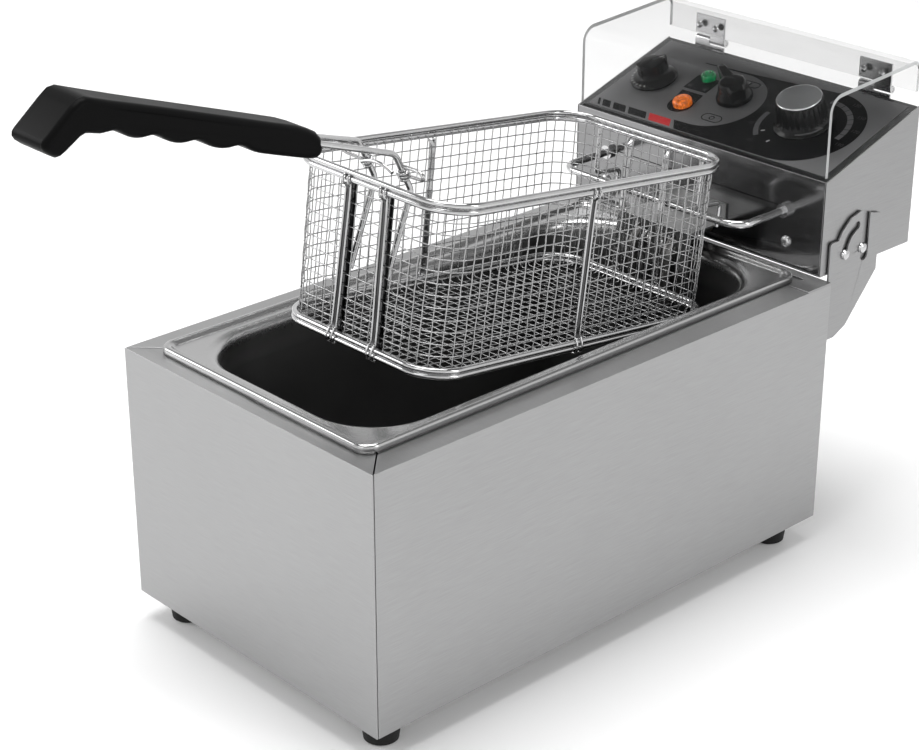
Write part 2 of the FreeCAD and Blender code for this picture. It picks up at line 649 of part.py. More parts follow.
def make_hanger():
    """The bent rod that the basket hooks over, with its nuts behind the face."""
    half = "hanger_width / 2"
    points = [("-" + half, "head_front + 8", "hanger_z"), ("-" + half, "hanger_y", "hanger_z"),
              (half, "hanger_y", "hanger_z"), (half, "head_front + 8", "hanger_z")]
    bar = rod(points, number("hanger_radius"), number("hanger_bend"))
    keep("basket_hanger", scripted("hanger_rod", bar))
    nut = turned("hanger_nut", [("hanger_radius", "0"), ("hanger_radius * 1.9", "0"),
                                ("hanger_radius * 1.9", "3.2"), ("hanger_radius", "3.2")])
    spots = []
    for sign in ("-", ""):
        for y in ("head_front - 3.3", "head_front + sheet + 0.1"):
            spots.append((sign + half, y, "hanger_z"))
    keep("hanger_nuts", copies("hanger_nut_set", nut, spots, [TURNS["y"]] * 4))


def make_element():
    """The tubular heating element, its fittings and its guard."""
    far, near = "element_half_width", "element_gap"
    front, back = "pan_front + element_front", "element_y"
    turn = "element_y - element_return"
    half = [(near, "head_front + 14", "element_z"), (near, back, "element_z"),
            (near, back, "element_floor"), (far, back, "element_floor"),
            (far, front, "element_floor"), ("element_gap + 3", front, "element_floor"),
            ("element_gap + 3", turn, "element_floor")]
    other = [("-(%s)" % x, y, z) for x, y, z in reversed(half)]
    tube = rod(half + other, number("element_radius"), number("element_bend"))
    keep("heating_element", scripted("element_tube", tube))
    fitting = turned("element_fitting", [("element_radius", "0"), ("element_radius + 3", "0"),
                                         ("element_radius + 3", "5"), ("element_radius + 1.5", "5"),
                                         ("element_radius + 1.5", "9"), ("element_radius", "9")])
    spots = [(sign + near, "head_front + sheet + 0.1", "element_z") for sign in ("-", "")]
    keep("element_fittings", copies("element_fitting_set", fitting, spots, [TURNS["y"]] * 2))
    make_guard()


def make_guard():
    """A slotted plate that hangs behind the element, and the shelf that carries it."""
    rear = "element_y + element_radius + guard_gap"
    shelf_start = rear + " + guard_sheet + 0.05"
    top = "element_z + element_radius + 3"
    low = "element_floor + guard_up"
    left = "-guard_width / 2"
    hanging = block("guard_back", ("guard_width", "guard_sheet", "%s + guard_sheet - (%s)" % (top, low)),
                    (left, rear, low))
    holes = []
    for row in range(int(number("slot_rows"))):
        z = "%s + 10 + %d * slot_pitch" % (low, row)
        holes.append(block("guard_slot", ("guard_slot_width", "4", "guard_slot_height"),
                           ("-guard_slot_width / 2", rear + " - 1", z)))
    for sign in ("-", ""):
        for x, radius in (("element_gap", "element_radius"), ("bulb_x", "capillary_radius")):
            wide = "(%s + 0.5)" % radius
            notch = ("2 * " + wide, "4", "element_bend + 1 + " + wide)
            holes.append(block("guard_notch", notch,
                               (sign + x + " - " + wide, rear + " - 1", "element_z - element_bend - 1")))
    keep("element_guard", cut("guard_plate", hanging, holes))
    shelf = block("guard_top", ("guard_width", "head_front - (%s) - fit_gap" % shelf_start, "guard_sheet"),
                  (left, shelf_start, top))
    ears = block("guard_ear", ("guard_width", "guard_sheet", "slot_pitch"),
                 (left, "head_front - guard_sheet - fit_gap", top))
    keep("guard_shelf", fuse("shelf_plate", [shelf, ears]))


def make_sensors():
    """The two thermostat bulbs on their capillaries, and the clips that hold them."""
    for sign, label in (("-", "thermostat_bulb"), ("", "limit_bulb")):
        x = sign + "bulb_x"
        behind = "head_front + 12"
        y = "element_y - 0.5"
        low = "element_floor + 10"
        points = [(x, behind, "element_z"), (x, y, "element_z"), (x, y, low + " + bulb_length")]
        line = rod(points, number("capillary_radius"), 5)
        bulb = Part.makeCylinder(number("bulb_radius"), number("bulb_length"),
                                 Vector(number(x), number(y), number(low)))
        keep(label, scripted(label + "_shape", line.fuse(bulb)))
    clips = []
    for sign in ("-", ""):
        for up in (24, 70):
            middle = (sign + "bulb_x", "element_y - 0.5", "element_floor + %d" % up)
            ring = cylinder("clip_ring", "bulb_radius + 1", "6", middle)
            bore = cylinder("clip_bore", "bulb_radius + 0.05", "8", middle[:2] + (middle[2] + " - 1",))
            clips.append(cut("clip", ring, [bore]))
    keep("bulb_clips", group("clip_set", clips))


def make_inner_parts():
    """What the head holds: thermostat, timer, switch, contactor and terminals."""
    below = "-(sheet + 0.6)"
    for label, x, up, size in (("thermostat_body", "dial_x", "dial_v", (34, 34, 26)),
                               ("timer_body", "timer_x", "timer_v", (42, 44, 34)),
                               ("switch_body", "switch_x", "switch_v", (26, 30, 30))):
        wide, deep, tall = size
        case = block(label + "_case", (str(wide), str(deep), str(tall)),
                     (str(-wide / 2), str(-deep / 2), "%s - %d" % (below, tall)))
        bore = cylinder(label + "_bore", "shaft_radius + 0.1", "shaft_depth + 4",
                        ("0", "0", below + " - shaft_depth"))
        bushing = cylinder(label + "_bush", "shaft_radius + 1.2", "1.2", ("0", "0", below))
        keep_on_panel(label, cut(label + "_shape", fuse(label + "_blank", [case, bushing]), [bore]), x, up)
    keep("contactor", block("contactor_case", ("30", "26", "24"),
                            ("head_width / 2 - 46", "head_back - 34", "head_floor + sheet + 0.2")))
    base = block("terminal_base", ("44", "16", "14"), ("-96", "head_back - 40", "head_floor + sheet + 0.2"))
    screws = [cylinder("terminal_screw", "2.4", "4", ("%d" % (-89 + 10 * way), "head_back - 32",
                                                     "head_floor + sheet + 10.2")) for way in range(4)]
    keep("terminal_block", cut("terminal_shape", base, screws))
    body = block("micro_case", ("20", "7", "10"),
                 ("head_width / 2 - 76", "head_front + 5", "head_floor + sheet + fit_gap"))
    keep("microswitch", body)
    limiter = cylinder("limiter_cup", "9", "14", ("reset_x", "head_back - sheet - 0.2 - 14.4",
                                                 "head_floor + reset_up"), "y")
    bore = cylinder("limiter_bore", "reset_radius + 0.2", "9", ("reset_x", "head_back - sheet - 8",
                                                                 "head_floor + reset_up"), "y")
    keep("limit_thermostat", cut("limiter_shape", limiter, [bore]))


def make_gland_and_reset():
    """The cord gland in the rear cover and the reset button beside it."""
    gland = turned("gland_body", [("gland_bore", "-6"), ("gland_radius - 3", "-6"),
                                  ("gland_radius - 3", "0"), ("gland_radius", "0"),
                                  ("gland_radius", "gland_length / 2"),
                                  ("gland_radius - 2.5", "gland_length"), ("gland_bore", "gland_length")])
    gland_spot = ("gland_x", "head_back", "head_floor + gland_up")
    keep("cord_gland", copies("gland", gland, [gland_spot], [TURNS["y"]]))
    button = turned("reset_stem", [("0", "-5"), ("reset_radius", "-5"),
                                   ("reset_radius", "reset_proud - 0.6"),
                                   ("reset_radius - 0.6", "reset_proud"), ("0", "reset_proud")])
    reset_spot = ("reset_x", "head_back", "head_floor + reset_up")
    keep("reset_button", copies("reset", button, [reset_spot], [TURNS["y"]]))


# ---------------------------------------------------------------- controls
def make_lamps():
    for label, x, up, radius in (("green_lamp", "green_x", "green_v", "green_radius"),
                                 ("orange_lamp", "orange_x", "orange_v", "orange_radius")):
        stem = radius + " - 1"
        lens = turned(label + "_lens", [("0", "-lamp_depth"), (stem, "-lamp_depth"), (stem, "0.4"),
                                        (radius, "0.4"), (radius, "lamp_height * 0.6"),
                                        (radius + " - 1.2", "lamp_height"), ("0", "lamp_height")])
        keep_on_panel(label, lens, x, up)


def shaft(label, x, up, height):
    """A knob's spindle, from inside its mechanism up into the knob."""
    spindle = cylinder(label + "_bar", "shaft_radius", "shaft_depth + sheet + %s" % height,
                       ("0", "0", "-sheet - shaft_depth"))
    keep_on_panel(label, group(label + "_node", [spindle]), x, up)


def make_timer_knob():
    """A round skirt with a raised bar that tapers to a pointer."""
    skirt = turned("timer_skirt", [("0", "1"), ("timer_radius", "1"), ("timer_radius", "2.6"),
                                   ("timer_radius - 1.6", "4.4"), ("timer_radius * 0.62", "6"),
                                   ("timer_radius * 0.58", "timer_height"), ("0", "timer_height")])
    bar = plate("timer_bar", "XY", [("-4", "-timer_radius + 2"), ("4", "-timer_radius + 2"),
                                    ("2", "timer_radius - 1"), ("-2", "timer_radius - 1")],
                "timer_height - 3", ("0", "0", "3"))
    bore = cylinder("timer_bore", "shaft_radius", "timer_height - 5", ("0", "0", "0"))
    keep_on_panel("timer_knob", cut("timer_knob_shape", fuse("timer_blank", [skirt, bar]), [bore]),
                  "timer_x", "timer_v")
    shaft("timer_shaft", "timer_x", "timer_v", "timer_height - 5")


def make_switch_knob():
    """A round base with a long beak that points at the chosen mark."""
    base = turned("switch_base", [("0", "1"), ("switch_radius", "1"), ("switch_radius", "4"),
                                  ("switch_radius - 2", "7"), ("switch_radius - 3", "switch_height"),
                                  ("0", "switch_height")])
    beak = plate("switch_pointer", "XY", [("-6", "-switch_radius + 1"), ("6", "-switch_radius + 1"),
                                          ("2.2", "switch_beak"), ("-2.2", "switch_beak")],
                 "switch_height - 3", ("0", "0", "3"))
    bore = cylinder("switch_bore", "shaft_radius", "switch_height - 5", ("0", "0", "0"))
    knob = cut("switch_knob_shape", fuse("switch_blank", [base, beak]), [bore])
    keep_on_panel("switch_knob", knob, "switch_x", "switch_v")
    shaft("switch_shaft", "switch_x", "switch_v", "switch_height - 5")


def make_thermostat_knob():
    """A fluted knob on a wide skirt, with a spun metal cap."""
    top = "dial_height - 1.2"
    blank = turned("dial_blank", [("0", "1"), ("dial_radius", "1"), ("dial_radius", "3"),
                                  ("dial_cap_radius + 1.6", "7"), ("dial_cap_radius + 0.6", top),
                                  ("0", top)])
    flutes = []
    for index in range(12):
        flute = doc.addObject("Part::Cylinder", "dial_flute")
        flute.Radius = 2.0
        flute.Height = 30
        angle = math.radians(30 * index)
        put(flute, "(dial_cap_radius + 2.6) * %.5f" % math.cos(angle),
            "(dial_cap_radius + 2.6) * %.5f" % math.sin(angle), "5")
        flutes.append(flute)
    bore = cylinder("dial_bore", "shaft_radius", "dial_height - 6", ("0", "0", "0"))
    keep_on_panel("thermostat_knob", cut("dial_shape", blank, flutes + [bore]), "dial_x", "dial_v")
    cap = turned("dial_cap", [("0", top), ("dial_cap_radius", top),
                              ("dial_cap_radius", "dial_height - 0.3"),
                              ("dial_cap_radius - 0.6", "dial_height"), ("0", "dial_height")])
    keep_on_panel("thermostat_cap", cap, "dial_x", "dial_v")
    shaft("thermostat_shaft", "dial_x", "dial_v", "dial_height - 6")


# ---------------------------------------------------------------- clear cover
def make_cover():
    """The bent clear sheet, with a front, a top and a short back."""
    half = number("cover_thickness / 2")
    front = number("head_front + 1") + half
    rear = number("head_back") - half
    low = number("head_brow + 1.6")
    top = number("head_brow + cover_height")
    crown = top + number("cover_rise")
    hem = number("head_crown + 8.5")
    points = [(0, front, low), (0, front, top), (0, rear, crown), (0, rear, hem)]
    spots = [Vector(*point) for point in points]
    first = bent_path(spots[:3], number("cover_front_bend")).Edges[:-1]
    last = bent_path(spots[1:], number("cover_rear_bend")).Edges[1:]
    link = Part.LineSegment(first[-1].Vertexes[-1].Point, last[0].Vertexes[0].Point).toShape()
    path = Part.Wire(first + [link] + last)
    wide = number("cover_width / 2")
    corners = [Vector(-wide, front - half, low), Vector(wide, front - half, low),
               Vector(wide, front + half, low), Vector(-wide, front + half, low)]
    profile = Part.makePolygon(corners + corners[:1])
    keep("cover", scripted("cover_sheet", path.makePipeShell([profile], True, False)))


def make_hinges():
    """Two leaf hinges: lower leaves on the head, upper leaves on the cover."""
    lower, upper, pins, low_spots, high_spots = [], [], [], [], []
    for sign in ("-", ""):
        left = sign + "hinge_x - hinge_width / 2"
        middle = left + " + hinge_width / 2"
        knuckle = "hinge_width / 2 - fit_gap"
        behind = "head_back + 0.1"
        low_leaf = block("lower_leaf", ("hinge_width", "hinge_leaf", "hinge_lower_height"),
                         (left, behind, "hinge_z - hinge_lower_height - hinge_barrel - 0.3"))
        low_neck = block("lower_neck", (knuckle, "hinge_leaf", "3"), (left, behind, "hinge_z - 3"))
        low_barrel = cylinder("lower_barrel", "hinge_barrel", knuckle, (left, "hinge_y", "hinge_z"), "x")
        bore = cylinder("lower_bore", "hinge_pin + 0.05", "hinge_width", (left, "hinge_y", "hinge_z"), "x")
        lower.append(cut("lower_hinge", fuse("lower_set", [low_leaf, low_barrel, low_neck]), [bore]))
        other = middle + " + fit_gap"
        high_leaf = block("upper_leaf", ("hinge_width", "hinge_leaf", "hinge_upper_height"),
                          (left, behind, "hinge_z + hinge_upper_rise"))
        high_neck = block("upper_neck", (knuckle, "hinge_leaf", "hinge_upper_rise + 1"),
                          (other, behind, "hinge_z"))
        high_barrel = cylinder("upper_barrel", "hinge_barrel", knuckle, (other, "hinge_y", "hinge_z"), "x")
        bore = cylinder("upper_bore", "hinge_pin + 0.05", "hinge_width", (left, "hinge_y", "hinge_z"), "x")
        upper.append(cut("upper_hinge", fuse("upper_set", [high_leaf, high_neck, high_barrel]), [bore]))
        pins.append(cylinder("hinge_rod", "hinge_pin", "hinge_width - 2 * fit_gap",
                             (left + " + fit_gap", "hinge_y", "hinge_z"), "x"))
        for offset in ("-", "+"):
            x = "%shinge_x %s rivet_pitch / 2" % (sign, offset)
            rivet_z = "hinge_z + hinge_upper_rise + hinge_upper_height / 2"
            low_spots.append((x, behind + " + hinge_leaf", "hinge_z - 9"))
            high_spots.append((x, behind + " + hinge_leaf", rivet_z))
            high_spots.append((x, "head_back - cover_thickness", rivet_z))
    keep("hinge_lower_leaves", group("lower_hinges", lower))
    keep("hinge_upper_leaves", group("upper_hinges", upper))
    keep("hinge_pins", group("hinge_rods", pins))
    dome = turned("hinge_rivet", [("0", "0"), ("rivet_radius", "0"), ("rivet_radius * 0.87", "1"),
                                  ("rivet_radius * 0.42", "1.7"), ("0", "1.8")])
    inward = Rotation(Vector(1, 0, 0), 90)
    keep("hinge_lower_rivets", copies("low_rivets", dome, low_spots, [TURNS["y"]] * 4))
    keep("hinge_upper_rivets", copies("high_rivets", dome, high_spots, [TURNS["y"], inward] * 4))


# ---------------------------------------------------------------- basket
def basket_ring(drop, grow):
    """Width, length and corner radius of the basket at a depth below its rim."""
    share = drop / number("basket_height")
    inset = number("basket_taper") * share - grow
    flare = number("basket_flare") * share + grow
    return (number("basket_width") - 2 * inset, number("basket_length") + 2 * flare,
            number("basket_corner") + grow)


def make_basket():
    """The woven tub as a thin open shell, its rim, bottom frame, straps and hooks."""
    tall, thick = number("basket_height"), number("mesh_thickness")

    def tub(grow, top, bottom):
        rings = [rounded_ring(*basket_ring(drop, grow), -drop) for drop in (top, bottom)]
        return Part.makeLoft(rings, True, True)

    shell = tub(0, 0, tall).cut(tub(-thick, -0.01, tall - thick))
    keep_in_basket("basket_mesh", scripted("basket_shell", shell))
    wire = number("rim_wire")
    rims = [ring_rod(*basket_ring(drop, wire + 0.05), -drop, wire) for drop in (-wire * 0.2, wire * 1.9)]
    keep_in_basket("basket_rim", scripted("rim_wires", rims[0].fuse(rims[1])))
    frame = [ring_rod(*basket_ring(tall - wire - up, wire + 0.05), up + wire - tall, wire)
             for up in (0, wire * 1.9)]
    keep_in_basket("basket_frame", scripted("frame_wires", frame[0].fuse(frame[1])))
    make_straps(tall, wire)


def make_straps(tall, wire):
    """Flat straps up the walls between the rim and the bottom frame."""
    thick, half = number("strap_thickness"), number("strap_width") / 2
    top, bottom = wire * 3.1, tall - wire * 4
    near, far = number("strap_x"), number("strap_x + strap_splay")
    side_y = number("strap_side_y")
    straps = []
    for place, runs in (("front", ((-near, -far), (near, far))), ("back", ((-near, -far), (near, far))),
                        ("left", ((side_y, side_y),)), ("right", ((side_y, side_y),))):
        for run in runs:
            corners = []
            for drop, offset, turn in ((top, run[0], 1), (bottom, run[1], -1)):
                width, length, _ = basket_ring(drop, 0.05)
                for side in (-turn, turn):
                    corners.append((offset + side * half, width / 2, length / 2, -drop))
            straps.append(strap_solid(corners, place, thick))
    keep_in_basket("basket_straps", scripted("strap_set", Part.makeCompound(straps)))


def strap_solid(corners, place, thick):
    """One strap lying against a wall of the basket."""
    out = {"front": Vector(0, -1, 0), "back": Vector(0, 1, 0), "left": Vector(-1, 0, 0),
           "right": Vector(1, 0, 0)}[place]
    points = []
    for across, wide, long, height in corners:
        if place in ("front", "back"):
            points.append(Vector(across, out.y * long, height))
        else:
            points.append(Vector(out.x * wide, across, height))
    face = Part.Face(Part.makePolygon(points + points[:1]))
    return face.extrude(out * thick)


def make_hooks():
    """Two wire hooks that come down from the rim and go out over the hanger."""
    hooks = []
    for sign in (-1, 1):
        x = sign * number("hook_x")
        wall = number("basket_length / 2 + basket_flare + hook_wire + 0.1")
        level = -number("hook_level")
        far = wall + number("hook_reach")
        points = [(x, wall, -6), (x, wall, level), (x, far, level), (x, far, level - number("hook_drop"))]
        hooks.append(rod(points, number("hook_wire"), number("hook_bend")))
    keep_in_basket("basket_hooks", scripted("hook_pair", Part.makeCompound(hooks)))


derive("hook_level", "(basket_z - hanger_z - hanger_radius - hook_wire - 0.5) / cos(basket_tilt)"
       " - (basket_length / 2 + 6) * tan(basket_tilt)")


def make_handle():
    """Two wires from inside the basket's front, over its rim and up into the moulded grip."""
    radius = number("handle_wire")
    front = number("basket_front")
    inside = front + number("handle_inset")
    foot = -number("handle_leg")
    wires = []
    for sign in (-1, 1):
        strap = sign * number("strap_x")
        close = sign * number("grip_wire_x")
        points = [(close, -300, 58), (close, -170, 29), (strap, front + 3, 17.4),
                  (strap, inside, -5), (strap, front + 4, foot)]
        wires.append(rod(points, radius, number("handle_bend")))
    bridge_y = front + 4.5
    across = number("strap_x - handle_wire") - 0.5
    bridge = rod([(-across, bridge_y, 6), (0, bridge_y, 11), (across, bridge_y, 6)], radius * 0.6, 30)
    keep_in_basket("handle_wires", scripted("handle_rods", Part.makeCompound(wires)))
    keep_in_basket("handle_bridge", scripted("bridge_rod", bridge))
    make_grip(wires)


def make_grip(wires):
    """The moulded grip: a hooked end, a straight back and an underside held by the fingers."""
    nose, tail, level = number("grip_front"), number("grip_rear"), number("nose_height")
    block_top = -nose + number("nose_lean")
    outline = [(block_top, level + 21.4), (-nose, level), (-nose + 8.4, level - 5.6),
               (-nose + 22.6, level + 4.3), (-nose + 31.3, level + 3.2), (-tail - 24, 21.4),
               (-tail - 7.9, 19.3), (-tail - 2, 21.5), (-tail, 27.2), (-tail - 7.8, 32.2),
               (-tail - 18.5, 36.6), (block_top + 2, level + 22.8)]
    wide = number("grip_width") / 2
    points = [Vector(-wide, y, z) for y, z in outline]
    grip = Part.Face(Part.makePolygon(points + points[:1])).extrude(Vector(2 * wide, 0, 0))
    for wire in wires:
        grip = grip.cut(wire)
    keep_in_basket("handle_grip", scripted("grip_shape", grip))


# ---------------------------------------------------------------- build, check and write
make_side_wrap()
make_front_panel()
make_base_plate()
make_feet()
make_rear_top_plate()
make_pan()
make_bracket()
make_bracket_screws()
make_head_housing()
make_head_face()
make_back_cover()
make_overlay()
make_fasteners()
make_hanger()
make_element()
make_sensors()
make_inner_parts()
make_gland_and_reset()
make_lamps()
make_timer_knob()
make_switch_knob()
make_thermostat_knob()
make_cover()
make_hinges()
make_basket()
make_hooks()
make_handle()

doc.recompute()
for item in doc.Objects:
    if {"Invalid", "Error"} & set(item.State):
        raise RuntimeError("%s could not be made" % item.Label)
os.makedirs("parts", exist_ok=True)
for piece in nodes:
    if piece.Shape.isNull() or not piece.Shape.isValid():
        raise RuntimeError("%s has no valid shape" % piece.Label)
    piece.Shape.exportStep("parts/%s.step" % piece.Label)
print(len(nodes), "pieces written")
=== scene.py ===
"""Looks for the counter-top deep fryer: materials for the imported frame, and finer meshes
for the basket, the grip, the pan, the knobs, the lamps and the printed control panel."""
import math

import bmesh
import bpy
from mathutils import Matrix, Vector


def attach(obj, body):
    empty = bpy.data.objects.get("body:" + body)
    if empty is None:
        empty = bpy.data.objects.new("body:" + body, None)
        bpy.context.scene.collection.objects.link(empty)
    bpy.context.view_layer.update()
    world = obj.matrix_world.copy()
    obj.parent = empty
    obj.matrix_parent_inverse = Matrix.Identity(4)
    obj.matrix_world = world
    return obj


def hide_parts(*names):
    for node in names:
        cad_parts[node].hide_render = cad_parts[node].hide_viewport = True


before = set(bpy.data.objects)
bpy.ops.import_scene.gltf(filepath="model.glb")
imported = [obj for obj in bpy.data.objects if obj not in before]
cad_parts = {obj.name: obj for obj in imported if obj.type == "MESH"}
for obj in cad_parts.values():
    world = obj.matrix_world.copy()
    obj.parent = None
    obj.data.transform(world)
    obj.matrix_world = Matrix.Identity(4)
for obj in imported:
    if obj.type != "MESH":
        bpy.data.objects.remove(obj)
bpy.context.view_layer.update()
MM = 0.001

# ---------------------------------------------------------------- sizes, in millimetres
MIDDLE = 172.7023
BODY_DEPTH = 370.0
PAN_HALF_WIDTH, PAN_HALF_LENGTH, PAN_SHEET = 91.0, 175.0, 0.7
HEAD_FRONT, HEAD_BROW = 364.0, 242.5
SLOPE = math.radians(18.2)
BASKET_Y, BASKET_Z, BASKET_TILT = 206.4, 270.7, math.radians(7.0)
BASKET_WIDTH, BASKET_LENGTH, BASKET_HEIGHT = 131.5, 226.0, 98.0
BASKET_TAPER, BASKET_FLARE, BASKET_CORNER = 1.5, 2.0, 22.0
TIMER, SWITCH, DIAL = (-75.0, 45.0), (-9.0, 49.0), (51.0, 44.0)
GREEN, ORANGE = (-41.0, 61.0), (-37.0, 30.0)
DIAL_SCALE, FIGURE_HEIGHT = (51.5, 44.0), 0.46


# ---------------------------------------------------------------- frames
def in_row(x, y, z):
    """A point of the fryer's design frame, in metres in the row frame."""
    return Vector((x, y - MIDDLE, z)) * MM


def on_panel(x, up, lift=0.0):
    """A point on the sloped panel: across, up the slope, and out from it."""
    return in_row(x, HEAD_FRONT + up * math.cos(SLOPE) - lift * math.sin(SLOPE),
                  HEAD_BROW + up * math.sin(SLOPE) + lift * math.cos(SLOPE))


def in_basket(x, y, z):
    """A point in the basket's own frame, whose origin is the middle of its rim."""
    c, s = math.cos(BASKET_TILT), math.sin(BASKET_TILT)
    return in_row(x, BASKET_Y + y * c + z * s, BASKET_Z - y * s + z * c)


# ---------------------------------------------------------------- mesh building
class Shape:
    """Collects points and faces, then makes one object of them."""

    def __init__(self):
        self.points, self.faces, self.slots = [], [], []

    def add(self, points, faces, slot=0):
        start = len(self.points)
        self.points += [tuple(p) for p in points]
        self.faces += [tuple(start + i for i in face) for face in faces]
        self.slots += [slot] * len(faces)

    def tube(self, path, radius, sides=8, closed=False, slot=0):
        """A round wire along a path of points."""
        count = len(path)
        tangents = []
        for i in range(count):
            before = path[i - 1] if i or closed else path[0]
            after = path[(i + 1) % count] if i < count - 1 or closed else path[-1]
            tangents.append((after - before).normalized())
        side = tangents[0].orthogonal().normalized()
        sides_of = []
        for tangent in tangents:
            side = (side - tangent * side.dot(tangent)).normalized()
            sides_of.append(side.copy())
        points, faces = [], []
        for i in range(count):
            across, over = sides_of[i], tangents[i].cross(sides_of[i])
            for k in range(sides):
                a = 2 * math.pi * k / sides
                points.append(path[i] + (across * math.cos(a) + over * math.sin(a)) * radius)
        for i in range(count if closed else count - 1):
            j = (i + 1) % count
            for k in range(sides):
                m = (k + 1) % sides
                faces.append((i * sides + k, i * sides + m, j * sides + m, j * sides + k))
        if not closed:
            faces.append(tuple(reversed(range(sides))))
            faces.append(tuple((count - 1) * sides + k for k in range(sides)))
        self.add(points, faces, slot)

    def loft(self, rings, slot=0, cap_start=False, cap_end=False):
        """A skin over closed rings that all have the same number of points."""
        n = len(rings[0])
        faces = []
        for i in range(len(rings) - 1):
            j = i + 1
            for k in range(n):
                m = (k + 1) % n
                faces.append((i * n + k, i * n + m, j * n + m, j * n + k))
        if cap_start:
            faces.append(tuple(reversed(range(n))))
        if cap_end:
            faces.append(tuple((len(rings) - 1) * n + k for k in range(n)))
        self.add([p for ring in rings for p in ring], faces, slot)

    def plate(self, outline, place, low, high, slot=0):
        """A flat shape with a small thickness; place turns (x, y, height) into a point."""
        n = len(outline)
        points = [place(x, y, low) for x, y in outline] + [place(x, y, high) for x, y in outline]
        faces = [tuple(reversed(range(n))), tuple(range(n, 2 * n))]
        faces += [(k, (k + 1) % n, n + (k + 1) % n, n + k) for k in range(n)]
        self.add(points, faces, slot)

    def lathe(self, profile, place, segments=64, slot=0, wobble=None):
        """A body turned from (radius, height) pairs; place turns (x, y, height) into a point."""
        rings = []
        for radius, height in profile:
            ring = []
            for k in range(segments):
                a = 2 * math.pi * k / segments
                r = radius * (wobble(a, radius, height) if wobble else 1.0)
                ring.append(place(r * math.cos(a), r * math.sin(a), height))
            rings.append(ring)
        self.loft(rings, slot, profile[0][0] > 0.001, profile[-1][0] > 0.001)

    def make(self, name, materials, smooth=40, body=None, slot=None, replaces=()):
        mesh = bpy.data.meshes.new(name)
        mesh.from_pydata(self.points, [], self.faces)
        for material in materials:
            mesh.materials.append(material)
        mesh.polygons.foreach_set("material_index", self.slots)
        mesh.update()
        piece = bpy.data.objects.new(name, mesh)
        bpy.context.scene.collection.objects.link(piece)
        merge(piece)
        soften(piece, smooth)
        if body:
            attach(piece, body)
        if replaces:
            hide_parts(*replaces)
        return piece


def merge(piece):
    """Join points that lie on one another and turn the faces outwards."""
    work = bmesh.new()
    work.from_mesh(piece.data)
    bmesh.ops.remove_doubles(work, verts=work.verts, dist=1e-7)
    bmesh.ops.recalc_face_normals(work, faces=work.faces)
    work.to_mesh(piece.data)
    work.free()


def soften(piece, angle):
    """Smooth shading, with edges sharper than the angle kept crisp."""
    mesh = piece.data
    mesh.polygons.foreach_set("use_smooth", [True] * len(mesh.polygons))
    mesh.set_sharp_from_angle(angle=math.radians(angle))
    mesh.update()


def crease(piece, angle):
    """Smooth shading for a frame node, with its real edges kept crisp."""
    mesh = piece.data
    if "custom_normal" in mesh.attributes:
        mesh.attributes.remove(mesh.attributes["custom_normal"])
    mesh.polygons.foreach_set("use_smooth", [True] * len(mesh.polygons))
    spots = [tuple(round(c, 6) for c in vertex.co) for vertex in mesh.vertices]
    sides, sharp = {}, set()
    limit = math.cos(math.radians(angle))
    for face in mesh.polygons:
        for first, last in face.edge_keys:
            key = frozenset((spots[first], spots[last]))
            if key in sides and sides[key].dot(face.normal) < limit:
                sharp.add(key)
            sides[key] = face.normal.copy()
    for edge in mesh.edges:
        edge.use_edge_sharp = frozenset(spots[v] for v in edge.vertices) in sharp
    mesh.update()


def bevel(piece, width, segments=3, angle=40):
    """Round the piece's edges."""
    cut = piece.modifiers.new("edges", "BEVEL")
    cut.width = width * MM
    cut.segments = segments
    cut.limit_method = "ANGLE"
    cut.angle_limit = math.radians(angle)
    cut.harden_normals = True


def arc(centre, radius, first, last, steps=16):
    """Points along a flat arc, angles in degrees."""
    out = []
    for i in range(steps + 1):
        a = math.radians(first + (last - first) * i / steps)
        out.append((centre[0] + radius * math.cos(a), centre[1] + radius * math.sin(a)))
    return out


def band(centre, inner, outer, first, last, steps=12):
    """A flat piece of a ring."""
    return arc(centre, outer, first, last, steps) + arc(centre, inner, last, first, steps)


def rounded(half_x, half_y, radius, corner_steps=8, straight_steps=1):
    """Points round a rectangle with round corners, counter-clockwise."""
    out = []
    corners = [(1, 1, 0), (-1, 1, 90), (-1, -1, 180), (1, -1, 270)]
    for index, (sx, sy, start) in enumerate(corners):
        cx, cy = sx * (half_x - radius), sy * (half_y - radius)
        turn = arc((cx, cy), radius, start, start + 90, corner_steps)
        out += turn
        nx, ny, after = corners[(index + 1) % 4]
        ax, ay = nx * (half_x - radius), ny * (half_y - radius)
        nxt = arc((ax, ay), radius, after, after, 1)[0]
        for step in range(1, straight_steps):
            t = step / straight_steps
            out.append((turn[-1][0] * (1 - t) + nxt[0] * t, turn[-1][1] * (1 - t) + nxt[1] * t))
    return out


def spline(points, steps):
    """A smooth line through the points."""
    out = []
    for i in range(len(points) - 1):
        p1, p2 = points[i], points[i + 1]
        p0 = points[i - 1] if i else p1
        p3 = points[i + 2] if i + 2 < len(points) else p2
        for step in range(steps):
            t = step / steps
            out.append(0.5 * (2 * p1 + (p2 - p0) * t + (2 * p0 - 5 * p1 + 4 * p2 - p3) * t * t
                              + (3 * p1 - p0 - 3 * p2 + p3) * t ** 3))
    out.append(points[-1])
    return out


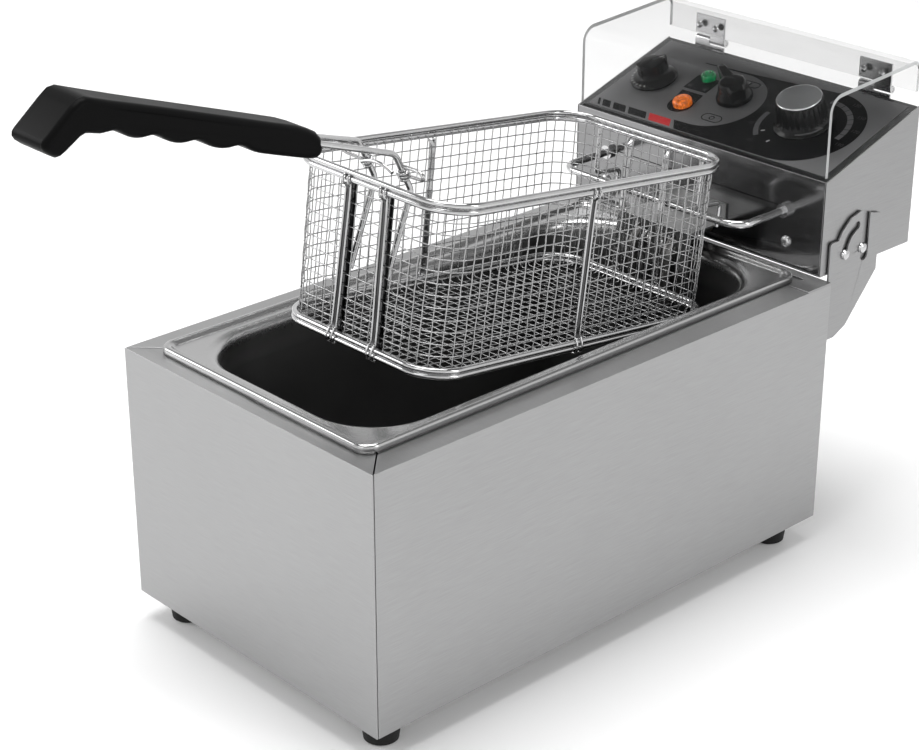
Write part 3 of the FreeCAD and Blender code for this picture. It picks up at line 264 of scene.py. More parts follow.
# ---------------------------------------------------------------- materials
class Look:
    """A node material built up step by step round one Principled shader."""

    def __init__(self, name, color, metallic=0.0, roughness=0.5):
        self.material = bpy.data.materials.new(name)
        self.material.use_nodes = True
        self.tree = self.material.node_tree
        self.shader = self.tree.nodes["Principled BSDF"]
        self.color = color
        self.shader.inputs["Base Color"].default_value = (*color, 1)
        self.shader.inputs["Metallic"].default_value = metallic
        self.shader.inputs["Roughness"].default_value = roughness
        self.where = self.node("ShaderNodeTexCoord").outputs["Object"]
        self.facing = self.tree.nodes[-1].outputs["Normal"]

    def node(self, kind, **inputs):
        made = self.tree.nodes.new(kind)
        for name, value in inputs.items():
            self.feed(made.inputs[name.replace("_", " ")], value)
        return made

    def feed(self, socket, value):
        if isinstance(value, bpy.types.NodeSocket):
            self.tree.links.new(value, socket)
        else:
            socket.default_value = value

    def noise(self, scale, detail=3.0, rough=0.5, where=None):
        """Noise whose scale may differ along X, Y and Z, in cycles per metre."""
        if isinstance(scale, (tuple, list)):
            mapping = self.node("ShaderNodeMapping", Vector=where or self.where)
            mapping.inputs["Scale"].default_value = scale
            where, scale = mapping.outputs["Vector"], 1.0
        made = self.node("ShaderNodeTexNoise", Vector=where or self.where, Scale=scale, Detail=detail,
                         Roughness=rough)
        return made.outputs["Fac"]

    def fit(self, value, low, high, start=0.0, end=1.0):
        """Map a value from one range to another."""
        made = self.node("ShaderNodeMapRange", Value=value)
        for name, number in zip(("From Min", "From Max", "To Min", "To Max"), (start, end, low, high)):
            made.inputs[name].default_value = number
        return made.outputs["Result"]

    def math(self, kind, first, second=0.0):
        made = self.tree.nodes.new("ShaderNodeMath")
        made.operation = kind
        self.feed(made.inputs[0], first)
        self.feed(made.inputs[1], second)
        return made.outputs[0]

    def mix(self, factor, first, second):
        made = self.tree.nodes.new("ShaderNodeMix")
        made.data_type = "RGBA"
        self.feed(made.inputs["Factor"], factor)
        self.feed(made.inputs[6], first if isinstance(first, bpy.types.NodeSocket) else (*first, 1))
        self.feed(made.inputs[7], second if isinstance(second, bpy.types.NodeSocket) else (*second, 1))
        return made.outputs[2]

    def axis(self, vector, name):
        split = self.node("ShaderNodeSeparateXYZ", Vector=vector)
        return split.outputs[name]

    def paint(self, factor, dark, light):
        """Colour that goes between two shares of the base colour."""
        first = tuple(c * dark for c in self.color)
        second = tuple(min(1.0, c * light) for c in self.color)
        colour = self.mix(factor, first, second)
        self.feed(self.shader.inputs["Base Color"], colour)
        return colour

    def rough(self, factor, low, high, start=0.3, end=0.7):
        self.feed(self.shader.inputs["Roughness"], self.fit(factor, low, high, start, end))

    def bump(self, height, distance, strength=1.0):
        """Relief of the given depth, in millimetres; later calls add to earlier ones."""
        made = self.node("ShaderNodeBump", Height=height)
        made.inputs["Distance"].default_value = distance * MM
        made.inputs["Strength"].default_value = strength
        if self.shader.inputs["Normal"].is_linked:
            self.feed(made.inputs["Normal"], self.shader.inputs["Normal"].links[0].from_socket)
        self.feed(self.shader.inputs["Normal"], made.outputs["Normal"])

    def set(self, **inputs):
        for name, value in inputs.items():
            self.shader.inputs[name.replace("_", " ")].default_value = value
        return self


def brushed(name, color, roughness, spread=0.05, pitch=2600.0, run=60.0, depth=0.0015, contrast=0.11):
    """Sheet steel brushed in one direction, along X on faces across and along Y on sides."""
    look = Look(name, color, 1.0, roughness)
    along_x = look.noise((run, pitch, pitch), 4.0, 0.6)
    along_y = look.noise((pitch, run, pitch), 4.0, 0.6)
    sideways = look.math("ABSOLUTE", look.axis(look.facing, "X"))
    lines = look.tree.nodes.new("ShaderNodeMix")
    look.feed(lines.inputs["Factor"], look.math("GREATER_THAN", sideways, 0.5))
    look.feed(lines.inputs[2], along_x)
    look.feed(lines.inputs[3], along_y)
    lines = lines.outputs[0]
    cloud = look.noise(9.0, 2.0)
    tone = look.math("ADD", look.math("MULTIPLY", lines, 0.8), look.math("MULTIPLY", cloud, 0.2))
    look.paint(look.fit(tone, 0.0, 1.0, 0.25, 0.75), 1.0 - contrast, 1.0 + contrast)
    look.rough(tone, roughness - spread, roughness + spread)
    look.bump(lines, depth)
    look.set(Anisotropic=0.45)
    return look.material


def plated(name, color, roughness, spread=0.05, depth=0.004):
    """Bright plated wire or fasteners, faintly uneven."""
    look = Look(name, color, 1.0, roughness)
    fine = look.noise(900.0, 3.0)
    broad = look.noise(60.0, 2.0)
    tone = look.math("MULTIPLY", look.math("ADD", fine, broad), 0.5)
    look.paint(look.fit(tone, 0.0, 1.0, 0.3, 0.7), 0.88, 1.06)
    look.rough(tone, roughness - spread, roughness + spread)
    look.bump(fine, depth)
    return look.material


def moulded(name, color, roughness, grain=1400.0, depth=0.02, spread=0.07, gloss=0.5):
    """Moulded plastic or rubber with a fine grain and worn patches."""
    look = Look(name, color, 0.0, roughness)
    fine = look.noise(grain, 4.0, 0.6)
    broad = look.noise(35.0, 3.0)
    look.paint(broad, 0.85, 1.2)
    tone = look.math("MULTIPLY", look.math("ADD", fine, broad), 0.5)
    look.rough(tone, roughness - spread, roughness + spread)
    look.bump(fine, depth)
    look.set(Specular_IOR_Level=gloss)
    return look.material


def printed(name, color, roughness=0.35):
    """Ink on the control label."""
    look = Look(name, color, 0.0, roughness)
    fine = look.noise(2500.0, 2.0)
    look.paint(fine, 0.93, 1.07)
    look.rough(fine, roughness - 0.04, roughness + 0.04)
    look.bump(fine, 0.004)
    look.set(Specular_IOR_Level=0.1)
    return look.material


def lens(name, color, glow):
    """A coloured moulded lens with fine ribs and spots inside."""
    look = Look(name, color, 0.0, 0.16)
    ribs = look.noise((900.0, 900.0, 200.0), 2.0)
    spots = look.noise(420.0, 2.0)
    tone = look.math("MULTIPLY", look.math("ADD", ribs, spots), 0.5)
    colour = look.paint(look.fit(tone, 0.0, 1.0, 0.38, 0.62), 0.45, 1.7)
    look.feed(look.shader.inputs["Emission Color"], colour)
    look.set(Emission_Strength=glow, IOR=1.49, Coat_Weight=0.6, Coat_Roughness=0.08)
    look.rough(tone, 0.1, 0.24)
    look.bump(tone, 0.05)
    return look.material


def clear_sheet(name):
    """Clear acrylic: nearly invisible face on, denser at bends and when grazed, and with a painted highlight
    on its cut edges, which are pale and nearly opaque.
    """
    look = Look(name, (0.5, 0.51, 0.51), 0.0, 0.05)
    rim = look.node("ShaderNodeLayerWeight")
    rim.inputs["Blend"].default_value = 0.3
    side = look.math("ABSOLUTE", look.axis(look.facing, "X"))
    under = look.math("MULTIPLY", look.axis(look.facing, "Z"), -1.0)
    # Painted highlight: faces that point sideways or down, the cut edges, get a pale colour and nearly full
    # opacity for the light they catch.
    edge = look.math("MAXIMUM", look.math("GREATER_THAN", side, 0.7), look.math("GREATER_THAN", under, 0.9))
    haze = look.noise(28.0, 3.0)
    wipe = look.noise((14.0, 90.0, 90.0), 3.0)
    film = look.fit(look.math("MULTIPLY", look.math("ADD", haze, wipe), 0.5), 0.06, 0.09, 0.3, 0.7)
    grazing = look.fit(rim.outputs["Facing"], 0.0, 0.1, 0.3, 1.0)
    bend = look.math("POWER", rim.outputs["Facing"], 7.0)
    alpha = look.math("ADD", look.math("ADD", film, grazing), look.math("MULTIPLY", bend, 0.55))
    alpha = look.math("MAXIMUM", alpha, look.math("MULTIPLY", edge, 0.85))
    look.feed(look.shader.inputs["Alpha"], alpha)
    look.rough(wipe, 0.03, 0.08)
    shade = look.mix(haze, (0.04, 0.042, 0.042), (0.07, 0.072, 0.072))
    # The pale base colour on the cut edges is a painted highlight.
    look.feed(look.shader.inputs["Base Color"], look.mix(edge, shade, (0.5, 0.51, 0.51)))
    look.set(IOR=1.49, Specular_IOR_Level=0.3)
    return look.material


body_steel = brushed("body_brushed_steel", (0.37, 0.37, 0.372), 0.36)
head_steel = brushed("head_brushed_steel", (0.33, 0.33, 0.332), 0.32)
face_steel = brushed("face_polished_steel", (0.25, 0.25, 0.252), 0.15, 0.03)
guard_steel = brushed("guard_steel", (0.34, 0.34, 0.34), 0.3)
chrome = plated("bright_wire", (0.56, 0.56, 0.563), 0.12)
mesh_wire = plated("woven_wire", (0.44, 0.44, 0.442), 0.24, 0.06)
# painted shade: a near-black steel for the basket straps' webs and for a sheet behind the front wall
strap_painted_shade = plated("strap_painted_shade_steel", (0.07, 0.07, 0.071), 0.14)
zinc = plated("plated_fasteners", (0.60, 0.60, 0.605), 0.24)
element_metal = plated("element_tube", (0.24, 0.235, 0.23), 0.34, 0.1)
brass = plated("brass_fittings", (0.72, 0.55, 0.26), 0.3)
bulb_metal = plated("bulb_steel", (0.30, 0.30, 0.30), 0.3)
rubber = moulded("foot_rubber", (0.010, 0.010, 0.010), 0.6, 900.0, 0.04, 0.07, 0.25)
black = moulded("knob_plastic", (0.004, 0.004, 0.0042), 0.22, 1800.0, 0.004, 0.05, 0.22)
grip_black = moulded("grip_plastic", (0.0034, 0.0034, 0.0035), 0.42, 1300.0, 0.012, 0.05, 0.05)
cases = moulded("case_plastic", (0.62, 0.60, 0.54), 0.5)
dark_cases = moulded("dark_case_plastic", (0.03, 0.03, 0.032), 0.45)
ceramic = moulded("glazed_ceramic", (0.82, 0.81, 0.77), 0.25, 300.0, 0.02)
red = moulded("reset_red", (0.5, 0.03, 0.025), 0.35)
film = printed("label_silver", (0.15, 0.15, 0.152), 0.36)
ink = printed("label_black", (0.005, 0.005, 0.0055), 0.3)
grey_ink = printed("label_grey", (0.115, 0.115, 0.117), 0.34)
dim_ink = printed("label_dim", (0.045, 0.045, 0.046), 0.34)
white_ink = printed("label_white", (0.62, 0.62, 0.61), 0.4)
red_ink = printed("label_red", (0.5, 0.032, 0.035), 0.35)
green_lens = lens("green_lens", (0.0, 0.17, 0.05), 0.35)
orange_lens = lens("orange_lens", (0.78, 0.13, 0.008), 0.45)
clear = clear_sheet("clear_acrylic")


def spun_metal():
    """Aluminium turned on a lathe: fine rings and a highlight that fans out from the centre."""
    look = Look("spun_aluminium", (0.86, 0.86, 0.865), 1.0, 0.22)
    flat = look.node("ShaderNodeVectorMath")
    flat.operation = "MULTIPLY"
    look.feed(flat.inputs[0], look.where)
    flat.inputs[1].default_value = (1.0, 1.0, 0.0)
    distance = look.tree.nodes.new("ShaderNodeVectorMath")
    distance.operation = "LENGTH"
    look.feed(distance.inputs[0], flat.outputs[0])
    rings = look.math("SINE", look.math("MULTIPLY", distance.outputs["Value"], 14000.0))
    look.paint(look.fit(rings, 0.0, 1.0, -1.0, 1.0), 0.93, 1.04)
    look.rough(look.fit(rings, 0.0, 1.0, -1.0, 1.0), 0.19, 0.26)
    look.bump(rings, 0.002)
    tangent = look.tree.nodes.new("ShaderNodeTangent")
    tangent.direction_type = "RADIAL"
    tangent.axis = "Z"
    look.feed(look.shader.inputs["Tangent"], tangent.outputs["Tangent"])
    look.set(Anisotropic=0.85)
    return look.material


spun = spun_metal()

# ---------------------------------------------------------------- the frame's own nodes
NODE_LOOKS = {
    body_steel: ["side_wrap", "front_panel", "base_plate", "rear_top_plate"],
    guard_steel: ["pan", "element_guard", "guard_shelf"],
    head_steel: ["hinge_bracket", "head_housing", "head_back_cover"],
    face_steel: ["head_face"],
    chrome: ["basket_hanger", "basket_rim", "basket_frame", "basket_straps", "basket_hooks",
             "handle_wires", "handle_bridge", "basket_mesh"],
    zinc: ["foot_screws", "bracket_screws", "back_screws", "face_screws", "pivot_pins", "pin_nuts",
           "hanger_nuts", "bulb_clips", "timer_shaft", "switch_shaft", "thermostat_shaft",
           "hinge_lower_leaves", "hinge_upper_leaves", "hinge_pins", "hinge_lower_rivets",
           "hinge_upper_rivets"],
    element_metal: ["heating_element"], brass: ["element_fittings"],
    bulb_metal: ["thermostat_bulb", "limit_bulb"],
    rubber: ["feet"], black: ["timer_knob", "switch_knob", "thermostat_knob", "cord_gland"],
    cases: ["thermostat_body", "timer_body"],
    dark_cases: ["switch_body", "contactor", "microswitch"],
    ceramic: ["terminal_block", "limit_thermostat"], red: ["reset_button"],
    grip_black: ["handle_grip"], film: ["control_overlay"], spun: ["thermostat_cap"],
    green_lens: ["green_lamp"], orange_lens: ["orange_lamp"], clear: ["cover"],
}
EDGE = {"side_wrap": 0.35, "front_panel": 0.35, "rear_top_plate": 0.25, "base_plate": 0.3,
        "hinge_bracket": 0.35, "head_housing": 0.25, "head_face": 0.35, "head_back_cover": 0.3,
        "hinge_lower_leaves": 0.25, "hinge_upper_leaves": 0.25, "cover": 0.35}
CREASE_ANGLE, BEVEL_ANGLE, SAME_SPOT = 32, 35, 1e-6
for material, names in NODE_LOOKS.items():
    for name in names:
        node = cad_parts[name]
        node.data.materials.clear()
        node.data.materials.append(material)
        node.data.polygons.foreach_set("material_index", [0] * len(node.data.polygons))
        crease(node, CREASE_ANGLE)
        weld = node.modifiers.new("weld", "WELD")
        weld.merge_threshold = SAME_SPOT
        if name in EDGE:
            bevel(node, EDGE[name], 2, BEVEL_ANGLE)


# ---------------------------------------------------------------- oil pan
def pan_look():
    """Drawn steel: bright satin on the rim, and painted shade that darkens the colour lower down in the tub.
    """
    look = Look("pan_satin_steel", (0.44, 0.44, 0.44), 1.0, 0.2)
    cloud = look.noise(16.0, 3.0)
    fine = look.noise(700.0, 2.0)
    height = look.fit(look.axis(look.where, "Z"), 1.0, 0.0, 0.158, 0.178)
    upper_steel = look.mix(cloud, (0.44, 0.44, 0.44), (0.50, 0.50, 0.50))
    # painted shade: lower down in the tub the colour is darkened for the shade that falls inside it
    pan_painted_shade = look.mix(cloud, (0.13, 0.13, 0.13), (0.18, 0.18, 0.18))
    look.feed(look.shader.inputs["Base Color"], look.mix(height, upper_steel, pan_painted_shade))
    look.feed(look.shader.inputs["Roughness"],
              look.math("ADD", look.fit(fine, 0.2, 0.25, 0.3, 0.7), look.math("MULTIPLY", height, 0.22)))
    look.bump(look.noise(1500.0, 2.0), 0.0004)
    return look.material


pan_steel = pan_look()


def pan_ring(inset, corner, height):
    """The pan's outline at a height, moved in from the rim."""
    outline = rounded(PAN_HALF_WIDTH - inset, PAN_HALF_LENGTH - inset, corner, 12, 6)
    return [in_row(x, y + BODY_DEPTH / 2, height) for x, y in outline]


def make_pan():
    """The pan: lip, shelf and tub as one drawn sheet, from (inset, height) and wall sections."""
    lip = [(0.0, 177.2), (0.0, 180.2), (0.25, 181.1), (0.8, 181.7), (1.6, 182.0), (2.6, 182.0),
           (3.4, 181.8), (4.2, 181.3), (4.8, 180.6), (5.4, 179.9), (6.2, 179.55), (7.2, 179.5)]
    rings = [pan_ring(inset, 10.0 - inset * 0.6, height) for inset, height in lip]
    tub = [(9.0, 39.5, 179.5), (10.2, 40.5, 179.25), (11.4, 41.2, 178.6), (12.3, 41.6, 177.8),
           (13.1, 41.8, 176.6), (13.6, 42.0, 175.0), (14.0, 42.0, 172.0), (15.6, 41.2, 140.0),
           (17.2, 40.4, 95.0), (18.4, 39.6, 62.0), (19.2, 39.0, 54.0), (20.6, 37.6, 48.5),
           (23.4, 34.8, 44.4), (28.0, 30.0, 42.5), (34.0, 24.0, 42.05), (60.0, 12.0, 42.0)]
    rings += [pan_ring(*section) for section in tub]
    shape = Shape()
    shape.loft(rings, 0, False, True)
    pan = shape.make("oil_pan", [pan_steel], 60, "base", "pan_steel", ["pan"])
    wall = pan.modifiers.new("wall", "SOLIDIFY")
    wall.thickness = PAN_SHEET * MM
    wall.offset = -1.0


# ---------------------------------------------------------------- basket
WIRE, WEAVE = 0.36, 0.2
SPAN_X, SPAN_Y = BASKET_WIDTH / 2 - BASKET_CORNER, BASKET_LENGTH / 2 - BASKET_CORNER
COUNT_X, COUNT_Y, COUNT_CORNER, COUNT_RINGS = 13, 27, 4, 14
RING_STEP, FIRST_RING = 6.86, 3.4
WALL_INSET = 0.75
FLOOR_DROP = BASKET_HEIGHT - 0.7


def leaned(x, y, drop):
    """A point of the rim's plan, moved in across and out along as the walls lean lower down."""
    share = drop / BASKET_HEIGHT
    return (x * (1 - 2 * BASKET_TAPER * share / BASKET_WIDTH),
            y * (1 + 2 * BASKET_FLARE * share / BASKET_LENGTH))


def wall_spot(place, drop, out=0.0):
    """A point on the basket's wall: place is (centre x, centre y, angle), drop is below the rim."""
    cx, cy, angle = place
    radius = BASKET_CORNER - WALL_INSET + out
    return leaned(cx + radius * math.cos(angle), cy + radius * math.sin(angle), drop)


def wall_places():
    """Every upright wire's place round the basket, counter-clockwise from the right side's front."""
    places = []
    corner_angles = [math.pi / 2 * (i + 1) / (COUNT_CORNER + 1) for i in range(COUNT_CORNER)]
    for j in range(COUNT_Y + 1):
        places.append((SPAN_X, -SPAN_Y + 2 * SPAN_Y * j / COUNT_Y, 0.0))
    places += [(SPAN_X, SPAN_Y, a) for a in corner_angles]
    for j in range(COUNT_X + 1):
        places.append((SPAN_X - 2 * SPAN_X * j / COUNT_X, SPAN_Y, math.pi / 2))
    places += [(-SPAN_X, SPAN_Y, math.pi / 2 + a) for a in corner_angles]
    for j in range(COUNT_Y + 1):
        places.append((-SPAN_X, SPAN_Y - 2 * SPAN_Y * j / COUNT_Y, math.pi))
    places += [(-SPAN_X, -SPAN_Y, math.pi + a) for a in corner_angles]
    for j in range(COUNT_X + 1):
        places.append((-SPAN_X + 2 * SPAN_X * j / COUNT_X, -SPAN_Y, 1.5 * math.pi))
    places += [(SPAN_X, -SPAN_Y, 1.5 * math.pi + a) for a in corner_angles]
    return places


def make_mesh_tub():
    """The woven tub: rings round the walls, uprights, and the grid of the bottom."""
    shape = Shape()
    places = wall_places()
    drops = [FIRST_RING + RING_STEP * i for i in range(COUNT_RINGS)]
    for row, drop in enumerate(drops):
        path = []
        for index, place in enumerate(places):
            x, y = wall_spot(place, drop, WEAVE * (1 if (index + row) % 2 else -1))
            path.append(in_basket(x, y, -drop))
        shape.tube(path, WIRE * MM, 6, True)
    first_back = COUNT_Y + 1 + COUNT_CORNER
    first_left = first_back + COUNT_X + 1 + COUNT_CORNER
    first_front = first_left + COUNT_Y + 1 + COUNT_CORNER
    inner_x = [-SPAN_X + 2 * SPAN_X * j / COUNT_X for j in range(COUNT_X + 1)]
    inner_y = [-SPAN_Y + 2 * SPAN_Y * j / COUNT_Y for j in range(COUNT_Y + 1)]
    step_x, step_y = inner_x[1] - inner_x[0], inner_y[1] - inner_y[0]
    extra = (1, 2)
    all_x = [inner_x[0] + step_x * k for k in range(-2, len(inner_x) + 2)]
    all_y = [inner_y[0] + step_y * k for k in range(-2, len(inner_y) + 2)]

    def upright(index, down=True):
        """The upright wire's points from the rim down, or from the bottom up."""
        place = places[index]
        path = []
        x, y = wall_spot(place, 0.0)
        path.append((x, y, -0.4))
        for row, drop in enumerate(drops):
            x, y = wall_spot(place, drop, -WEAVE * (1 if (index + row) % 2 else -1))
            path.append((x, y, -drop))
        for drop, back in ((95.2, 0.15), (96.6, 0.9), (FLOOR_DROP, 2.4)):
            x, y = wall_spot(place, drop, -back)
            path.append((x, y, -drop))
        return path if down else path[::-1]

    def over_floor(fixed, others, along_y, parity):
        """A bottom wire's points, over and under the wires it crosses."""
        path = []
        for index, other in enumerate(others):
            lift = WEAVE * (1 if (index + parity) % 2 else -1) * (1 if along_y else -1)
            x, y = leaned(*((fixed, other) if along_y else (other, fixed)), FLOOR_DROP)
            path.append((x, y, -FLOOR_DROP + lift))
        return path

    for j, x in enumerate(inner_x):
        front = first_front + j
        back = first_back + COUNT_X - j
        floor = over_floor(x, inner_y, True, j)
        line = upright(front) + floor + upright(back, False)
        shape.tube([in_basket(*p) for p in line], WIRE * MM, 6)
    for j, y in enumerate(inner_y):
        right = j
        left = first_left + COUNT_Y - j
        floor = over_floor(y, inner_x, False, j)
        line = upright(left) + floor + upright(right, False)
        shape.tube([in_basket(*p) for p in line], WIRE * MM, 6)
    corner_runs = [(COUNT_Y + 1 + k) for k in range(COUNT_CORNER)]
    corner_runs += [(first_back + COUNT_X + 1 + k) for k in range(COUNT_CORNER)]
    corner_runs += [(first_left + COUNT_Y + 1 + k) for k in range(COUNT_CORNER)]
    corner_runs += [(first_front + COUNT_X + 1 + k) for k in range(COUNT_CORNER)]
    for index in corner_runs:
        shape.tube([in_basket(*p) for p in upright(index)], WIRE * MM, 6)
    reach = BASKET_CORNER - 1.6
    for k in extra:
        for sign in (-1, 1):
            x = sign * (SPAN_X + step_x * k)
            limit = SPAN_Y + math.sqrt(max(0.0, reach ** 2 - (step_x * k) ** 2))
            line = [(x, y, -FLOOR_DROP + WEAVE * (1 if (i + k) % 2 else -1))
                    for i, y in enumerate(all_y) if abs(y) <= limit]
            line = [(x, -limit, -FLOOR_DROP)] + line + [(x, limit, -FLOOR_DROP)]
            shape.tube([in_basket(*p) for p in line], WIRE * MM, 6)
            y = sign * (SPAN_Y + step_y * k)
            limit = SPAN_X + math.sqrt(max(0.0, reach ** 2 - (step_y * k) ** 2))
            line = [(x, y, -FLOOR_DROP - WEAVE * (1 if (i + k) % 2 else -1))
                    for i, x in enumerate(all_x) if abs(x) <= limit]
            line = [(-limit, y, -FLOOR_DROP)] + line + [(limit, y, -FLOOR_DROP)]
            shape.tube([in_basket(*p) for p in line], WIRE * MM, 6)
    shape.make("woven_mesh", [mesh_wire], 180, "basket", "chrome_wire", ["basket_mesh"])


STRAP_HALF, STRAP_ROLL, INNER_EXTRA = 2.0, 0.62, 1.4


def make_straps():
    """Folded straps up the walls: bright rolled edges with a web between them, painted near-black as shade
    on the front and right walls.
    """
    shape = Shape()
    profile = [(0.9, 0.9), (3.4, 1.2), (4.5, 3.2), (3.2, 6.6), (1.4, 10.0), (1.3, 48.0), (1.3, 87.0),
               (2.6, 90.0), (4.4, 94.0), (4.1, 97.6), (1.2, 99.2)]
    walls = [("x", -1, (-15.0, -17.0)), ("x", -1, (15.0, 17.0)), ("x", 1, (-15.0, -17.0)),
             ("x", 1, (15.0, 17.0)), ("y", -1, (-4.0, -4.0)), ("y", 1, (-4.0, -4.0))]

    def spot(wall, sideways, out, drop):
        kind, sign, (high, low) = wall
        offset = high + (low - high) * drop / BASKET_HEIGHT + sideways
        if kind == "x":
            _, y = leaned(0, BASKET_LENGTH / 2, drop)
            return in_basket(offset, sign * (y + out), -drop)
        x, _ = leaned(BASKET_WIDTH / 2, 0, drop)
        return in_basket(sign * (x + out), offset, -drop)

    def sheet(wall, sections, half, inner, outer, slot):
        """A flat strip that follows (out, drop) sections, between two distances behind them."""
        rings = []
        for out, drop in sections:
            rings.append([spot(wall, -half, out - outer, drop), spot(wall, half, out - outer, drop),
                          spot(wall, half, out - inner, drop), spot(wall, -half, out - inner, drop)])
        shape.loft(rings, slot, True, True)

    for wall in walls:
        for side in (-1, 1):
            line = spline([spot(wall, side * STRAP_HALF, out, drop) for out, drop in profile], 5)
            shape.tube(line, STRAP_ROLL * MM)
        # Painted shade: the web is near-black on the front and right walls and bright on the others.
        dark = wall[:2] in (("x", -1), ("y", 1))
        sheet(wall, profile[3:8], STRAP_HALF, 0.6, 0.25, 1 if dark else 0)
        # Painted shade: a wider near-black sheet just inside the front wall, where shade shows through the
        # mesh.
        if wall[:2] == ("x", -1):
            sheet(wall, [(-2.0, 5.0), (-2.2, 50.0), (-2.0, 93.0)], STRAP_HALF + INNER_EXTRA, 0.6, 0.0, 1)
    shape.make("folded_straps", [chrome, strap_painted_shade], 50, "basket", "chrome_wire", ["basket_straps"])


LOOP_WIRE, COIL_WIRE, COIL_RADIUS, COIL_RISE, COIL_STEPS = 1.15, 0.95, 2.9, 0.13, 16


def make_handle_loops():
    """The loops that stop the handle's wires, and the bridge's ends coiled round them."""
    shape = Shape()
    for sign in (-1, 1):
        loop = [(15.0, -104.0, 10.0), (22.0, -104.5, 10.4), (30.0, -105.5, 10.6), (33.5, -105.0, 8.6),
                (31.5, -104.0, 6.4), (24.0, -102.5, 5.4), (15.0, -101.0, 4.6)]
        line = spline([in_basket(sign * x, y, z) for x, y, z in loop], 6)
        shape.tube(line, LOOP_WIRE * MM)
        axis = Vector((0.0, 14.5, -22.4)).normalized()
        across = Vector((1.0, 0.0, 0.0))
        over = axis.cross(across)
        coil = []
        for step in range(41):
            turn = 2 * math.pi * step / COIL_STEPS
            centre = Vector((sign * 15.0, -103.6, 7.4)) + axis * (step * COIL_RISE)
            spot = centre + (across * math.cos(turn) * -sign + over * math.sin(turn)) * COIL_RADIUS
            coil.append(in_basket(*spot))
        shape.tube(coil, COIL_WIRE * MM)
    shape.make("handle_loops", [chrome], 60, "basket", "chrome_wire")


# ---------------------------------------------------------------- grip
GRIP_HOLLOWS = (-291.1, -265.9, -239.9, -212.3)
HOLLOW_DEPTH, HOLLOW_SPREAD, GRIP_HALF_WIDTH, GRIP_ROUNDING = 2.75, 7.0, 15.5, 5.0


def grip_outline():
    """The grip seen from the side, in the basket's frame: end face, back, tail and underside."""
    points = [(-332.6, 46.6), (-331.2, 48.6), (-318.0, 62.4), (-313.6, 66.4), (-309.6, 67.3), (-304.0, 66.0)]
    points += [(-296.0 + 10.0 * i, 64.2 - 2.12 * i) for i in range(13)]
    points += [(-168.2, 36.4), (-162.0, 33.8), (-158.4, 30.6), (-156.6, 27.0), (-156.2, 23.6),
               (-157.4, 20.6), (-160.6, 19.0), (-166.0, 19.6)]
    for step in range(66):
        y = -170.0 - 2.0 * step
        z = 47.7 - 0.2075 * (y + 301.6)
        z += sum(HOLLOW_DEPTH * math.exp(-((y - hollow) / HOLLOW_SPREAD) ** 2) for hollow in GRIP_HOLLOWS)
        points.append((y, z))
    points += [(-304.4, 48.6), (-308.6, 49.0), (-311.6, 47.6), (-315.4, 44.6), (-319.6, 41.2),
               (-322.4, 39.4), (-325.0, 38.9), (-328.0, 40.2), (-331.4, 42.4), (-332.7, 44.2)]
    return points


def make_grip():
    """The moulded grip with its finger hollows and its hooked end."""
    outline = grip_outline()
    shape = Shape()
    n = len(outline)
    points = []
    for side in (-1, 1):
        for y, z in outline:
            near = max(0.0, min(1.0, (y + 305.0) / 40.0))
            far = max(0.0, min(1.0, (y + 200.0) / 44.0))
            half = GRIP_HALF_WIDTH - 2.3 * near * near * (3 - 2 * near) - 2.2 * far * far
            points.append(in_basket(side * half, y, z))
    faces = [tuple(range(n)), tuple(reversed(range(n, 2 * n)))]
    faces += [(k, n + k, n + (k + 1) % n, (k + 1) % n) for k in range(n)]
    shape.add(points, faces)
    grip = shape.make("moulded_grip", [grip_black], 50, "basket", "grip_plastic", ["handle_grip"])
    bevel(grip, GRIP_ROUNDING, 7, 60)


# ---------------------------------------------------------------- controls
def turned_about(spot, degrees):
    """Places a knob's own points on the panel, turned about the knob's axis."""
    c, s = math.cos(math.radians(degrees)), math.sin(math.radians(degrees))

    def place(x, y, height):
        return on_panel(spot[0] + x * c - y * s, spot[1] + x * s + y * c, height)

    return place


def make_timer_knob():
    """A round body on a wide skirt, with a grip bar, a pointer line and skirt marks."""
    place = turned_about(TIMER, -28.0)
    shape = Shape()
    shape.lathe([(3.2, 1.0), (15.0, 1.0), (15.7, 1.5), (15.8, 2.4), (15.3, 3.2), (14.4, 3.8), (12.2, 4.6),
                 (10.6, 5.2), (9.7, 6.2), (9.2, 8.5), (8.9, 12.0), (8.6, 13.9), (7.8, 14.7), (6.6, 15.0)],
                place, 72)
    sections = [(4.2, 3.2), (4.0, 9.0), (3.6, 13.6), (3.0, 14.9)]
    rings = []
    for half, height in sections:
        narrow = half * 0.72
        ring = [(half, -9.0), (half, 0.0), (narrow, 9.6), (narrow * 0.4, 10.8), (-narrow * 0.4, 10.8),
                (-narrow, 9.6), (-half, 0.0), (-half, -9.0), (-half * 0.4, -9.8), (half * 0.4, -9.8)]
        rings.append([place(x, y, height) for x, y in ring])
    shape.loft(rings, 0, True, True)
    shape.plate([(-0.35, 1.0), (0.35, 1.0), (0.35, 9.8), (-0.35, 9.8)], place, 14.85, 15.0, 1)
    for index in range(9):
        angle = -150.0 + 13.0 * index
        shape.plate(band((0, 0), 13.0, 14.9 if index % 2 else 15.1, angle - 1.2, angle + 1.2, 2),
                    place, 4.05, 4.2, 1)
    shape.make("timer_knob_body", [black, white_ink], 35, "timer", "black_plastic", ["timer_knob"])


